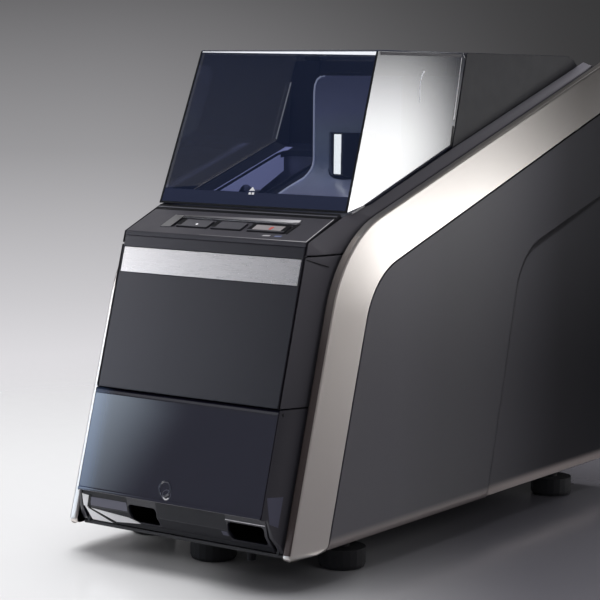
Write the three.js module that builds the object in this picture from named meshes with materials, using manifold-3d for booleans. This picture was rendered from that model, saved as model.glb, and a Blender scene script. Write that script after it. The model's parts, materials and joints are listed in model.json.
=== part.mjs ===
// Automatic lens edger for an optician's workshop, as an assembly of separate pieces.
// Millimetres, +X right, +Y towards the back, +Z up; the origin is under the middle of the feet.
import * as THREE from 'three';
import { mergeVertices } from 'three/addons/utils/BufferGeometryUtils.js';
import Module from 'manifold-3d';

const wasm = await Module();
wasm.setup();
const degrees = THREE.MathUtils.degToRad;

// Whole machine. Depths below are counted back from the foremost edge of the door.
const overallDepth = 712;
const overallWidth = 328.6;
const hoodRise = 204;
const fitGap = 0.3;
const looseGap = 0.8;
const seamGap = 1.4;
const overrun = 6;
const arcSteps = 12;
const roundSteps = 20;
const smallSteps = 10;

// Leaning front face
const faceLean = degrees(15.7);
const faceInset = 37.6;
const faceTopHeight = 359;
const doorFootHeight = 75.6;
const doorTopHeight = 187.5;
const doorLipReach = 1.7;

// Silver bands that run up the front corners and back along the shoulders
const bandWidth = 51.3;
const bandFootDepth = 68.7;
const bandLean = degrees(15.987);
const bandCornerDrop = 39;
const bandSlope = degrees(18.053);
const bandBendRadius = 90;
const bandLipInnerInset = 21.2;
const bandLipOuterInset = 10.6;
const bandSkin = 3.3;
const bandEdgeRound = 1.6;
const bandEndWall = 3;
const sillHeight = 31;
const sillRadius = 11;

// Side panels below the bands
const sidePanelThickness = 12;
const sidePanelSkin = 4;
const sidePanelFoot = 35;
const recessFootInset = 307.5;
const recessCornerInset = 236;
const recessCornerDrop = 34;
const recessSlope = degrees(16.073);
const recessBendRadius = 80;
const recessDepth = 5;
const recessSlopeWidth = 12;

// Cheek and shoulder mouldings between the covers and the bands
const cheekOuterInset = 25.3;
const cheekSetback = 2;
const cheekBaseInset = 22.6;
const cheekBaseDrop = 16;
const cheekSkin = 4.6;
const cheekFlangeDrop = 6;
const railInnerInset = 34.8;
const railSlope = degrees(17.346);
const rearInset = 12;
const upperCheekSeamDrop = 14;

// Chassis
const basePlateTop = 34;
const basePlateThickness = 4;
const basePlateFront = 30;
const basePlateRearInset = 16;
const basePlateInset = 21.9;
const chassisInset = 34.3;
const chassisPlate = 3;
const chassisTopDrop = 8;
const standoffRadius = 5;
const standoffSteps = 8;
const standoffBandShares = [0.17, 0.44, 0.66, 0.9];
const standoffPanelShares = [
  [0.28, 0.12], [0.28, 0.42], [0.9, 0.12], [0.9, 0.65],
];

// Rubber feet
const footRadius = 26;
const footEdgeRound = 5;
const footPuckHeight = 23;
const footNeckRadius = 8;
const footInset = 30.2;
const footFrontDepth = 141.7;
const footRearInset = 89.5;
const footCentreDepth = 84.9;

// Front cover, brushed strip and their frame
const coverGap = 2.2;
const coverThickness = 3;
const coverEdgeRound = 1.2;
const stripTopDrop = 17.7;
const stripHeight = 27.4;
const stripSetIn = 2.4;
const stripThickness = 1;
const frameWall = 3;

// Sloping control panel
const panelSlope = degrees(22.4);
const panelLength = 69;
const panelThickness = 4;
const panelSkirt = 9;
const trayLeft = -87;
const trayRight = 86;
const trayFront = 16;
const trayBack = 45;
const trayDepth = 1.6;
const trimBackWidth = 5;
const trimLeftWidth = 12;
const trimThickness = 1.4;
const keyFront = 19.5;
const keyBack = 36;
const keyLeftStart = -68;
const keyLeftEnd = -24;
const keyMiddleStart = -19.5;
const keyMiddleEnd = 23;
const keyRightStart = 31;
const keyRightEnd = 82;
const keyCorner = 2;
const keyProud = 0.4;
const keyFlangeWidth = 1.8;
const keyFlange = 1.5;
const keyTravel = 1.5;

// Smoked door over the accessory compartment
const doorSkin = 3;
const doorSideGap = 0.6;
const doorReturnDepth = 10;
const doorBeadRadius = 6;
const doorPinRadius = 1.6;
const doorPinReach = 11;
const doorPinDepthInCheek = 2;
const doorMarkX = -5;
const doorMarkRise = 15;
const doorMarkRadius = 8.6;
const doorMarkRing = 1.4;
const doorMarkProud = 0.6;
const doorLipHeight = 3.4;

// Lower bezel and chin below the door
const bezelSetback = 15;
const bezelWall = 3;
const binInset = 58.3;
const binFoot = 88;
const binTop = 170;
const binDepth = 84;
const binWall = 2.4;
const binFlange = 7;
const chinTopDepth = 9;
const chinMidDepth = 13;
const chinMidHeight = 55;
const chinFootDepth = 27;
const chinFootHeight = 36;
const chinWall = 3;
const chinTopDrop = 1.8;
const hollowFoot = 44.5;
const hollowHeight = 20.5;
const hollowLeftStart = -62;
const hollowLeftEnd = -23;
const hollowRightStart = 75;
const hollowInset = 41.3;
const hollowRound = 4;

// Smoked hood over the edging chamber and the housing behind it
const hoodFootInset = 33.4;
const hoodTopInset = 40.8;
const hoodFootSetback = 66.14;
const hoodFootRise = 27.8;
const hoodKneeSetback = 48.7;
const hoodKneeRise = 37.4;
const hoodHeelSetback = 220.8;
const hoodHeelRise = 94.8;
const hoodRearSetback = 258.1;
const hoodTopSetback = 68.5;
const hoodSkin = 3.2;
const hoodBeadRadius = 5.5;
const hoodPinRadius = 2;
const hoodPinReach = 9;
const hoodKnuckleInset = 72.3;
const hoodKnuckleLength = 20;
const hoodBracketWidth = 19;
const housingFootRise = 77;
const housingRearShare = 0.711;
const housingFootSlope = degrees(10.871);
const housingWall = 3;
const housingPadLength = 26;
const housingPadHeight = 10;
const housingEdgeRound = 3;

// Deck, chamber tub, tower cover and tool head under the hood
const deckFrontSetback = 5.5;
const deckRearSetback = 216.5;
const deckFrontRise = 22.7;
const deckSlope = degrees(18.44);
const deckThickness = 4;
const deckInset = 40;
const deckRailInnerInset = 44.3;
const deckRailOuterInset = 35.1;
const deckRailHeight = 8;
const deckRailSetback = 208.5;
const wellLeft = -88;
const wellRight = -20;
const wellFrontSetback = 38.5;
const wellBackSetback = 183.5;
const wellCorner = 12;
const wellRimHeight = 3;
const wellRimWidth = 3;
const tubLeft = -98;
const tubRight = 62;
const tubFrontSetback = 30.5;
const tubBackSetback = 190.5;
const tubFloorDrop = 123;
const tubFloorRadius = 40;
const tubWall = 3;
const tubFlangeWidth = 8;
const tubFlangeThickness = 3;
const tubDrainRadius = 9;
const tubDrainLength = 16;
const towerLeft = -4;
const towerInset = 43.3;
const towerFrontSetback = 122.5;
const towerRearSetback = 218.5;
const towerTopDrop = 28.5;
const towerCorner = 18;
const towerSweepRadius = 74;
const towerToeSetback = 38.5;
const towerSkin = 3;
const toolHeadX = 54;
const toolHeadSetback = 142.5;
const toolHeadRadius = 38;
const toolHeadRise = 111;
const toolHeadNeck = 24;
const toolHeadNeckInset = 10;

// Grinding spindle, its wheels and its belt drive
const wheelAxisSetback = 137.5;
const wheelAxisDrop = 67;
const wheelRadius = 50;
const wheelGap = 0.4;
const roughWheelWidth = 24;
const bevelWheelWidth = 22;
const polishWheelWidth = 20;
const wheelStackLeft = -84;
const wheelHubRadius = 26;
const wheelHubRecess = 3;
const bevelGrooveDepth = 2;
const bevelGrooveWidth = 5;
const spindleRadius = 8;
const spindleFlangeRadius = 22;
const spindleFlangeThickness = 4;
const spindleNutRadius = 14;
const spindleNutLength = 8;
const spindleNoseRadius = 18;
const spindleNoseGap = 3;
const spindleCollarRadius = 30;
const spindleCollarThickness = 5;
const spindleBarrelRadius = 20;
const spindleBarrelEnd = 80;
const pulleyGap = 4;
const pulleyWidth = 12;
const pulleyRim = 1;
const pulleyRimRise = 2.4;
const spindlePulleyRadius = 22;
const motorPulleyRadius = 30;
const beltThickness = 2;
const beltWidth = 9;
const motorHeight = 104;
const motorRadius = 40;
const motorLeft = -30;
const motorRight = 76;
const motorShaftRadius = 6;
const motorShaftLength = 30;
const motorFootWidth = 60;
const motorFootMargin = 12;

// Carriage with the two lens shafts
const lensAxisSetback = 107.5;
const lensAxisRise = 30;
const carriagePivotSetback = 218.5;
const carriagePivotDrop = 7;
const pivotRadius = 7;
const pivotBossRadius = 14;
const pivotBossLength = 6;
const carriageTubeRadius = 12;
const armThickness = 9;
const armGap = 2.2;
const armNoseRadius = 15;
const armHeelRadius = 15;
const shaftRadius = 9;
const slotPlay = 2;
const carriageSwing = degrees(20);
const lensGapLeft = -64;
const lensGapRight = -36;
const chuckCupRadius = 11;
const chuckCupLength = 12;
const lensPadRadius = 10;
const lensPadLength = 6;
const drivenDiscRadius = 14;
const drivenDiscThickness = 5;
const sliderTravel = 25;
const sliderThickness = 12;
const sliderRadius = 14;
const guideRadius = 4;
const guideSpacing = 30;
const guideLugRadius = 8;
const guideInset = 46.3;

// Water supply and drain
const nozzleX = -49;
const nozzleRadius = 4;
const nozzleBore = 2.4;
const nozzleRise = 45;
const nozzleReach = 22;
const nozzleDrop = 20;
const nozzleBaseRadius = 9;
const nozzleBaseThickness = 3;
const nozzleSides = 8;
const nozzleSteps = 6;
const drainX = 62;
const drainDepth = 72;
const drainRadius = 5;
const drainBore = 3.4;
const drainEnd = 10;
const drainFlangeRadius = 9;
const drainFlangeThickness = 3;

// Rear panel with its inlet, rocker switch and fan
const rearPanelThickness = 3;
const rearPanelInset = 12.7;
const rearPanelTopGap = 1.7;
const ventCount = 8;
const ventPitch = 11;
const ventHeight = 5;
const ventWidth = 84;
const ventX = -56;
const ventFootDrop = 29;
const inletX = -92;
const inletHeight = 84;
const inletWidth = 30;
const inletTall = 22;
const inletCorner = 4;
const inletDepth = 24;
const inletFlange = 5;
const inletFlangeThickness = 3;
const inletRecess = 16;
const inletWall = 3;
const inletPinLength = 11;
const inletPinThickness = 2;
const inletPinWidth = 5;
const inletPinPitch = 7;
const switchX = -46;
const switchWidth = 22;
const switchTall = 30;
const switchWall = 2.6;
const switchDepth = 20;
const rockerPinRadius = 1.5;
const rockerTilt = degrees(10);
const rockerProud = 5;
const rockerBody = 7;
const fanX = 62;
const fanRise = 21;
const fanSize = 92;
const fanDepth = 25;
const fanBore = 42;
const fanHubRadius = 17;
const fanBladeCount = 7;
const fanBladeThickness = 2;
const fanBladeGap = 2;
const fanBladePitch = degrees(35);
const fanSpokeWidth = 6;
const fanSpokeThickness = 4;
const fanPinRadius = 4;
const fanGrilleRings = 2;
const fanGrilleBar = 3;

// Heights above and below the top of the leaning face
const topHeight = faceTopHeight + hoodRise;
const hoodFootHeight = faceTopHeight + hoodFootRise;
const hoodKneeHeight = faceTopHeight + hoodKneeRise;
const hoodHeelHeight = faceTopHeight + hoodHeelRise;
const housingFootHeight = faceTopHeight + housingFootRise;
const deckFrontHeight = faceTopHeight + deckFrontRise;
const toolHeadTop = faceTopHeight + toolHeadRise;
const lensAxisHeight = faceTopHeight + lensAxisRise;
const nozzleHeight = faceTopHeight + nozzleRise;
const fanHeight = faceTopHeight + fanRise;
const bandCornerHeight = faceTopHeight - bandCornerDrop;
const recessCornerHeight = faceTopHeight - recessCornerDrop;
const upperCheekSeamHeight = faceTopHeight - upperCheekSeamDrop;
const stripTopHeight = faceTopHeight - stripTopDrop;
const tubFloor = faceTopHeight - tubFloorDrop;
const wheelAxisHeight = faceTopHeight - wheelAxisDrop;
const carriagePivotHeight = faceTopHeight - carriagePivotDrop;
const ventFoot = faceTopHeight - ventFootDrop;
const towerTopHeight = topHeight - towerTopDrop;

// Depths behind the foot of the hood, which stands behind the control panel
const hoodFootDepth = doorLipReach + (faceTopHeight - doorFootHeight) * Math.tan(faceLean)
  + hoodFootSetback;
const hoodKneeDepth = hoodFootDepth + hoodKneeSetback;
const hoodHeelDepth = hoodFootDepth + hoodHeelSetback;
const hoodRearDepth = hoodFootDepth + hoodRearSetback;
const hoodFrontTopDepth = hoodFootDepth + hoodTopSetback;
const deckFrontDepth = hoodFootDepth + deckFrontSetback;
const deckRearDepth = hoodFootDepth + deckRearSetback;
const deckRailRear = hoodFootDepth + deckRailSetback;
const wellFront = hoodFootDepth + wellFrontSetback;
const wellBack = hoodFootDepth + wellBackSetback;
const tubFront = hoodFootDepth + tubFrontSetback;
const tubBack = hoodFootDepth + tubBackSetback;
const towerFrontDepth = hoodFootDepth + towerFrontSetback;
const towerRearDepth = hoodFootDepth + towerRearSetback;
const towerToeDepth = hoodFootDepth + towerToeSetback;
const toolHeadDepth = hoodFootDepth + toolHeadSetback;
const wheelAxisDepth = hoodFootDepth + wheelAxisSetback;
const lensAxisDepth = hoodFootDepth + lensAxisSetback;
const carriagePivotDepth = hoodFootDepth + carriagePivotSetback;

// Depths counted from the rear
const recessFootDepth = overallDepth - recessFootInset;
const recessCornerDepth = overallDepth - recessCornerInset;
const basePlateRear = overallDepth - basePlateRearInset;
const footRearDepth = overallDepth - footRearInset;
const housingRearDepth = overallDepth - rearInset;

// Ends of the sloping lines
const bandCornerDepth = bandFootDepth + (bandCornerHeight - sillHeight) * Math.tan(bandLean);
const bandRearHeight = bandCornerHeight + (overallDepth - bandCornerDepth) * Math.tan(bandSlope);
const recessRearHeight = recessCornerHeight + (overallDepth - recessCornerDepth) * Math.tan(recessSlope);
const railRearHeight = hoodHeelHeight - seamGap
  + (housingRearDepth - hoodHeelDepth) * Math.tan(railSlope);
const housingRearFoot = housingFootHeight
  + (housingRearDepth - hoodHeelDepth) * Math.tan(housingFootSlope);
const rearPanelTop = housingRearFoot - rearPanelTopGap;
const housingRearRadius = (topHeight - housingRearFoot) * housingRearShare;

// Sides counted inwards from the overall width
const halfWidth = overallWidth / 2;
const bandLipInnerX = halfWidth - bandLipInnerInset;
const bandLipOuterX = halfWidth - bandLipOuterInset;
const cheekOuterX = halfWidth - cheekOuterInset;
const cheekBaseX = halfWidth - cheekBaseInset;
const railInnerX = halfWidth - railInnerInset;
const faceHalfWidth = halfWidth - faceInset;
const basePlateHalfWidth = halfWidth - basePlateInset;
const chassisInnerX = halfWidth - chassisInset;
const footSpreadX = halfWidth - footInset;
const rearPanelHalfWidth = halfWidth - rearPanelInset;
const hoodHalfWidthFoot = halfWidth - hoodFootInset;
const hoodHalfWidthTop = halfWidth - hoodTopInset;
const deckHalfWidth = halfWidth - deckInset;
const deckRailInnerX = halfWidth - deckRailInnerInset;
const deckRailOuterX = halfWidth - deckRailOuterInset;
const binHalfWidth = halfWidth - binInset;
const towerRight = halfWidth - towerInset;
const hollowRightEnd = halfWidth - hollowInset;
const hoodKnuckleX = halfWidth - hoodKnuckleInset;
const guideEnd = halfWidth - guideInset;

// Colours of the finishes
const charcoal = 0x47434b;
const darkCharcoal = 0x37343a;
const satinSilver = 0xb9b4ae;
const brushedSilver = 0xc9c5c6;
const smokedBlue = 0x232a44;
const black = 0x121214;
const steel = 0x9a9ca0;
const abrasive = 0x6f6a5c;

function finish(color, roughness, metalness) {
  return new THREE.MeshStandardMaterial({ color, roughness, metalness });
}

// Basic solids

// A closed geometry as a solid that can be joined and cut.
function solid(geometry) {
  const bare = geometry.clone();
  bare.deleteAttribute('normal');
  bare.deleteAttribute('uv');
  const merged = mergeVertices(bare);
  const index = merged.index.array;
  const kept = [];
  for (let i = 0; i < index.length; i += 3) {
    const [a, b, c] = [index[i], index[i + 1], index[i + 2]];
    if (a !== b && b !== c && c !== a) {
      kept.push(a, b, c);
    }
  }
  const vertProperties = Float32Array.from(merged.attributes.position.array);
  const triVerts = Uint32Array.from(kept);
  return new wasm.Manifold(new wasm.Mesh({ numProp: 3, vertProperties, triVerts }));
}

function shapeOf(outline) {
  return new THREE.Shape(outline.map(([a, b]) => new THREE.Vector2(a, b)));
}

const alongX = new THREE.Matrix4().makeBasis(
  new THREE.Vector3(0, 1, 0), new THREE.Vector3(0, 0, 1), new THREE.Vector3(1, 0, 0));
const alongY = new THREE.Matrix4().makeBasis(
  new THREE.Vector3(0, 0, 1), new THREE.Vector3(1, 0, 0), new THREE.Vector3(0, 1, 0));
const alongZ = new THREE.Matrix4();

// An outline pushed straight along one axis; a round edge eases both of its ends.
function extruded(outline, low, high, axis, round = 0, turns = 2) {
  const geometry = new THREE.ExtrudeGeometry(shapeOf(outline), {
    depth: high - low - round - round,
    bevelEnabled: round > 0,
    bevelThickness: round,
    bevelSize: round,
    bevelOffset: -round,
    bevelSegments: turns,
  });
  geometry.translate(0, 0, low + round);
  geometry.applyMatrix4(axis);
  return solid(geometry);
}

// Outlines are (depth, height) along X, (x, height) along Y and (x, depth) along Z.
function prismX(outline, low, high, round = 0) {
  return extruded(outline, low, high, alongX, round);
}

function prismY(outline, low, high, round = 0) {
  return extruded(outline.map(([x, z]) => [z, x]), low, high, alongY, round);
}

function prismZ(outline, low, high, round = 0) {
  return extruded(outline, low, high, alongZ, round);
}

function rectangle(a0, a1, b0, b1) {
  return [[a0, b0], [a1, b0], [a1, b1], [a0, b1]];
}

function box(x0, x1, y0, y1, z0, z1) {
  return prismZ(rectangle(x0, x1, y0, y1), z0, z1);
}

// A closed outline with its corners rounded, one radius for each corner.
function rounded(corners, radii, steps = 4) {
  const outline = [];
  corners.forEach((corner, i) => {
    const radius = Array.isArray(radii) ? radii[i] : radii;
    const here = new THREE.Vector2(...corner);
    const last = new THREE.Vector2(...corners[(i + corners.length - 1) % corners.length]);
    const next = new THREE.Vector2(...corners[(i + 1) % corners.length]);
    const toLast = last.sub(here).normalize();
    const toNext = next.sub(here).normalize();
    const half = Math.acos(THREE.MathUtils.clamp(toLast.dot(toNext), -1, 1)) / 2;
    if (radius === 0) {
      outline.push(corner);
      return;
    }
    const reach = radius / Math.tan(half);
    const centre = toLast.clone().add(toNext).normalize().multiplyScalar(radius / Math.sin(half)).add(here);
    const from = here.clone().addScaledVector(toLast, reach).sub(centre);
    const to = here.clone().addScaledVector(toNext, reach).sub(centre);
    const sweep = Math.atan2(from.cross(to), from.dot(to));
    for (let k = 0; k <= steps; k += 1) {
      const point = from.clone().rotateAround(new THREE.Vector2(), sweep * k / steps).add(centre);
      outline.push([point.x, point.y]);
    }
  });
  return outline;
}

function circle(a, b, radius, steps = roundSteps) {
  return Array.from({ length: steps }, (_, i) => {
    const turn = 2 * Math.PI * i / steps;
    return [a + radius * Math.cos(turn), b + radius * Math.sin(turn)];
  });
}

function rod(outline, low, high, axis) {
  return extruded(outline, low, high, axis);
}

function rodX(y, z, radius, low, high, steps = roundSteps) {
  return rod(circle(y, z, radius, steps), low, high, alongX);
}

function rodY(x, z, radius, low, high, steps = roundSteps) {
  return prismY(circle(x, z, radius, steps), low, high);
}

function rodZ(x, y, radius, low, high, steps = roundSteps) {
  return prismZ(circle(x, y, radius, steps), low, high);
}

// A profile of (radius, distance) turned round the X axis through (y, z).
function turnedX(profile, y, z, steps = roundSteps) {
  const points = profile.map(([r, x]) => new THREE.Vector2(r, x));
  const geometry = new THREE.LatheGeometry(points, steps);
  geometry.rotateZ(-Math.PI / 2);
  geometry.translate(0, y, z);
  return oriented(geometry);
}

function turnedZ(profile, x, y, steps = roundSteps) {
  const points = profile.map(([r, z]) => new THREE.Vector2(r, z));
  const geometry = new THREE.LatheGeometry(points, steps);
  geometry.rotateX(Math.PI / 2);
  geometry.translate(x, y, 0);
  return oriented(geometry);
}

// Turns the faces of a geometry outwards when they look inwards.
function oriented(geometry) {
  const made = solid(geometry);
  if (made.volume() > 0) {
    return made;
  }
  const flipped = geometry.clone();
  const index = flipped.index.array;
  for (let i = 0; i < index.length; i += 3) {
    [index[i], index[i + 1]] = [index[i + 1], index[i]];
  }
  return solid(flipped);
}

// A solid through a row of closed stations, each a list of [x, y, z] corners.
function loft(stations) {
  const count = stations[0].length;
  const positions = stations.flat(2);
  const index = [];
  for (let s = 0; s + 1 < stations.length; s += 1) {
    for (let k = 0; k < count; k += 1) {
      const a = s * count + k;
      const b = s * count + (k + 1) % count;
      index.push(a, b, b + count, a, b + count, a + count);
    }
  }
  const capped = (station, base) => {
    const flat = flattened(station);
    THREE.ShapeUtils.triangulateShape(flat, []).forEach(([a, b, c]) => {
      index.push(base + a, base + (base ? b : c), base + (base ? c : b));
    });
  };
  capped(stations[0], 0);
  capped(stations[stations.length - 1], (stations.length - 1) * count);
  const geometry = new THREE.BufferGeometry();
  geometry.setAttribute('position', new THREE.Float32BufferAttribute(positions, 3));
  geometry.setIndex(index);
  return oriented(geometry);
}

// The corners of one flat station, seen square on.
function flattened(station) {
  const corners = station.map((p) => new THREE.Vector3(...p));
  const normal = new THREE.Vector3();
  corners.forEach((p, i) => {
    normal.add(p.clone().cross(corners[(i + 1) % corners.length]));
  });
  const across = corners[1].clone().sub(corners[0]).normalize();
  const up = normal.normalize().clone().cross(across);
  return corners.map((p) => new THREE.Vector2(p.dot(across), p.dot(up)));
}

// A line that runs up, turns back through an arc and runs on, in (depth, height).
class BentLine {
  constructor(start, corner, end, radius) {
    this.start = start;
    this.end = end;
    this.radius = radius;
    this.inward = corner.clone().sub(start).normalize();
    this.outward = end.clone().sub(corner).normalize();
    this.turn = Math.acos(this.inward.dot(this.outward));
    const reach = radius * Math.tan(this.turn / 2);
    this.arcStart = corner.clone().addScaledVector(this.inward, -reach);
    this.arcEnd = corner.clone().addScaledVector(this.outward, reach);
    this.corner = corner;
    this.centre = this.arcStart.clone().addScaledVector(this.normalOf(this.inward), -radius);
  }

  normalOf(direction) {
    return new THREE.Vector2(-direction.y, direction.x);
  }

  // The parallel line at a distance towards the front and the top.
  offset(distance) {
    const before = this.normalOf(this.inward).multiplyScalar(distance);
    const after = this.normalOf(this.outward).multiplyScalar(distance);
    const spread = distance * Math.tan(this.turn / 2);
    const corner = this.corner.clone().add(before).addScaledVector(this.inward, spread);
    return new BentLine(this.start.clone().add(before), corner, this.end.clone().add(after),
      this.radius + distance);
  }

  // Stations along the line: a point with its outward normal.
  stations(steps, extra = []) {
    const found = [{ at: 0, point: this.start, normal: this.normalOf(this.inward) }];
    for (let i = 0; i <= steps; i += 1) {
      found.push(this.arcStation(this.turn * i / steps));
    }
    const last = this.normalOf(this.outward);
    extra.forEach((target) => found.push(this.facing(target)));
    found.push({ at: Infinity, point: this.end, normal: last });
    return found.sort((a, b) => a.at - b.at);
  }

  arcStation(angle) {
    const normal = this.normalOf(this.inward).rotateAround(new THREE.Vector2(), -angle);
    const point = this.centre.clone().addScaledVector(normal, this.radius);
    return { at: this.start.distanceTo(this.arcStart) + this.radius * angle, point, normal };
  }

  // The station whose normal passes through a target.
  facing(target) {
    const spoke = target.clone().sub(this.centre);
    const first = this.normalOf(this.inward);
    const angle = Math.atan2(spoke.cross(first), spoke.dot(first));
    if (angle > 0 && angle < this.turn) {
      return this.arcStation(angle);
    }
    const before = angle <= 0;
    const base = before ? this.start : this.arcEnd;
    const direction = before ? this.inward : this.outward;
    const along = target.clone().sub(base).dot(direction);
    const lead = before ? 0 : this.arcStation(this.turn).at;
    const point = base.clone().addScaledVector(direction, along);
    return { at: lead + along, point, normal: this.normalOf(direction) };
  }

  outline(steps) {
    return this.stations(steps).map(({ point }) => [point.x, point.y]);
  }
}

// The distance from a station, along its normal, to a run of straight segments.
function reachTo(station, run) {
  let best = Infinity;
  for (let i = 0; i + 1 < run.length; i += 1) {
    const a = run[i].clone().sub(station.point);
    const span = run[i + 1].clone().sub(run[i]);
    const cross = station.normal.cross(span);
    const along = a.cross(span) / cross;
    const share = a.cross(station.normal) / cross;
    const slack = 1e-6;
    if (share > -slack && share < 1 + slack && Math.abs(along) < Math.abs(best)) {
      best = along;
    }
  }
  return best;
}

function mirrored(piece) {
  return piece.mirror([1, 0, 0]);
}

// A moulding cut square between two heights.
function between(piece, low, high) {
  const reach = overallWidth;
  return piece.intersect(box(-reach, reach, -overrun, overallDepth + overrun, low, high));
}

// Whole scene

const edger = new THREE.Group();
const machine = new THREE.Group();
machine.position.y = -overallDepth / 2;
edger.add(machine);

function piece(name, body, material, parent = machine) {
  const { vertProperties, triVerts } = body.getMesh();
  const geometry = new THREE.BufferGeometry();
  geometry.setAttribute('position', new THREE.Float32BufferAttribute(vertProperties, 3));
  geometry.setIndex(Array.from(triVerts));
  geometry.computeVertexNormals();
  const mesh = new THREE.Mesh(geometry, material);
  mesh.name = name;
  parent.add(mesh);
  return mesh;
}

function pair(name, build, material) {
  const right = build(1);
  piece(`${name}_right`, right, material);
  piece(`${name}_left`, mirrored(build(-1)), material.clone());
}

// The front face leans back: its depth at a height.
const lean = Math.tan(faceLean);
function faceDepth(height) {
  return doorLipReach + (height - doorFootHeight) * lean;
}

// A plan outline, in x and in depth behind the face, raised along the leaning face.
function leaning(plan, low, high) {
  const geometry = new THREE.ExtrudeGeometry(shapeOf(plan), { depth: high - low, bevelEnabled: false });
  geometry.translate(0, 0, low);
  const shear = new THREE.Matrix4().set(
    1, 0, 0, 0,
    0, 1, lean, faceDepth(0),
    0, 0, 1, 0,
    0, 0, 0, 1);
  geometry.applyMatrix4(shear);
  return solid(geometry);
}

// Bands

const bandFoot = new THREE.Vector2(bandFootDepth, sillHeight);
const bandCorner = new THREE.Vector2(bandCornerDepth, bandCornerHeight);
const bandRear = new THREE.Vector2(overallDepth, bandRearHeight);
const bandOuter = new BentLine(bandFoot, bandCorner, bandRear, bandBendRadius);

// The same line carried on past both ends, so that cuts can trim it.
function carriedOn(line) {
  const start = line.start.clone().addScaledVector(line.inward, -bandWidth);
  const end = line.end.clone().addScaledVector(line.outward, bandWidth);
  return new BentLine(start, line.corner, end, line.radius);
}

const outerEdge = carriedOn(bandOuter);
const lipEdge = outerEdge.offset(bandWidth);

// The outside of the machine below: upright sides whose lower edges roll under.
const envelope = prismY(
  rounded(rectangle(-halfWidth, halfWidth, sillHeight, topHeight), [sillRadius, sillRadius, 0, 0]),
  0, overallDepth);

const bandSection = [
  [bandWidth - bandEdgeRound, bandLipInnerX],
  [bandWidth, bandLipInnerX + bandEdgeRound],
  [bandWidth, bandLipOuterX - bandEdgeRound],
  [bandWidth - bandEdgeRound, bandLipOuterX],
  [0, halfWidth],
  [0, halfWidth - bandSkin],
  [bandWidth - bandSkin, bandLipOuterX - bandSkin],
  [bandWidth - bandSkin, bandLipInnerX],
];

function swept(section) {
  return loft(outerEdge.stations(arcSteps).map(({ point, normal }) => section.map(
    ([out, x]) => [x, point.x + normal.x * out, point.y + normal.y * out])));
}

function band() {
  const full = swept([...bandSection.slice(0, 5), [0, bandLipInnerX]]).intersect(envelope);
  const ends = box(0, halfWidth, overallDepth - bandEndWall, overallDepth, 0, topHeight)
    .add(box(0, halfWidth, 0, overallDepth, 0, sillHeight + bandEndWall));
  return swept(bandSection).intersect(envelope).add(full.intersect(ends));
}

pair('band', band, finish(satinSilver, 0.32, 0.9));

// Side panels
function sidePanel() {
  const edge = outerEdge.offset(-seamGap);
  const outline = [...edge.outline(arcSteps), [edge.end.x, edge.start.y]];
  const whole = prismX(outline, halfWidth - sidePanelThickness, halfWidth + overrun);
  const plate = whole.intersect(envelope).intersect(
    box(0, halfWidth, 0, overallDepth, sidePanelFoot, topHeight));
  const start = new THREE.Vector2(recessFootDepth, sidePanelFoot);
  const corner = new THREE.Vector2(recessCornerDepth, recessCornerHeight);
  const end = new THREE.Vector2(overallDepth, recessRearHeight);
  const rim = carriedOn(new BentLine(start, corner, end, recessBendRadius));
  const field = [...rim.outline(arcSteps), [rim.end.x, rim.start.y]];
  const cutter = new THREE.ExtrudeGeometry(shapeOf(field), {
    depth: overrun,
    bevelEnabled: true,
    bevelThickness: recessDepth,
    bevelSize: recessSlopeWidth,
    bevelOffset: -recessSlopeWidth,
    bevelSegments: 3,
  });
  cutter.translate(0, 0, halfWidth);
  cutter.applyMatrix4(alongX);
  const backing = edge.offset(-sidePanelSkin);
  const hollow = prismX([...backing.outline(arcSteps), [backing.end.x, backing.start.y]],
    halfWidth - sidePanelThickness - overrun, halfWidth - sidePanelSkin - recessDepth);
  const inside = box(0, halfWidth, 0, overallDepth - sidePanelSkin,
    sidePanelFoot + sidePanelSkin, topHeight);
  return plate.subtract(hollow.intersect(inside)).subtract(solid(cutter));
}

pair('side_panel', sidePanel, finish(charcoal, 0.5, 0.25));

// Inner edge of the mouldings: up the face, over the control panel and back along the hood
function hoodHalfWidth(height) {
  const share = (height - hoodFootHeight) / (topHeight - hoodFootHeight);
  return THREE.MathUtils.lerp(hoodHalfWidthFoot, hoodHalfWidthTop, share);
}

const railRun = [
  new THREE.Vector2(faceDepth(0), 0),
  new THREE.Vector2(faceDepth(faceTopHeight), faceTopHeight),
  new THREE.Vector2(hoodFootDepth, hoodFootHeight - seamGap),
  new THREE.Vector2(hoodKneeDepth, hoodKneeHeight - seamGap),
  new THREE.Vector2(hoodHeelDepth, hoodHeelHeight - seamGap),
  new THREE.Vector2(housingRearDepth, railRearHeight),
];

function railInner(depth, height) {
  const face = railRun[1];
  if (depth <= face.x) {
    return faceHalfWidth;
  }
  const share = Math.min(1, (depth - face.x) / (hoodFootDepth - face.x));
  const rail = Math.min(railInnerX, hoodHalfWidth(height) + seamGap);
  return THREE.MathUtils.lerp(faceHalfWidth, rail, share);
}

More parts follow.
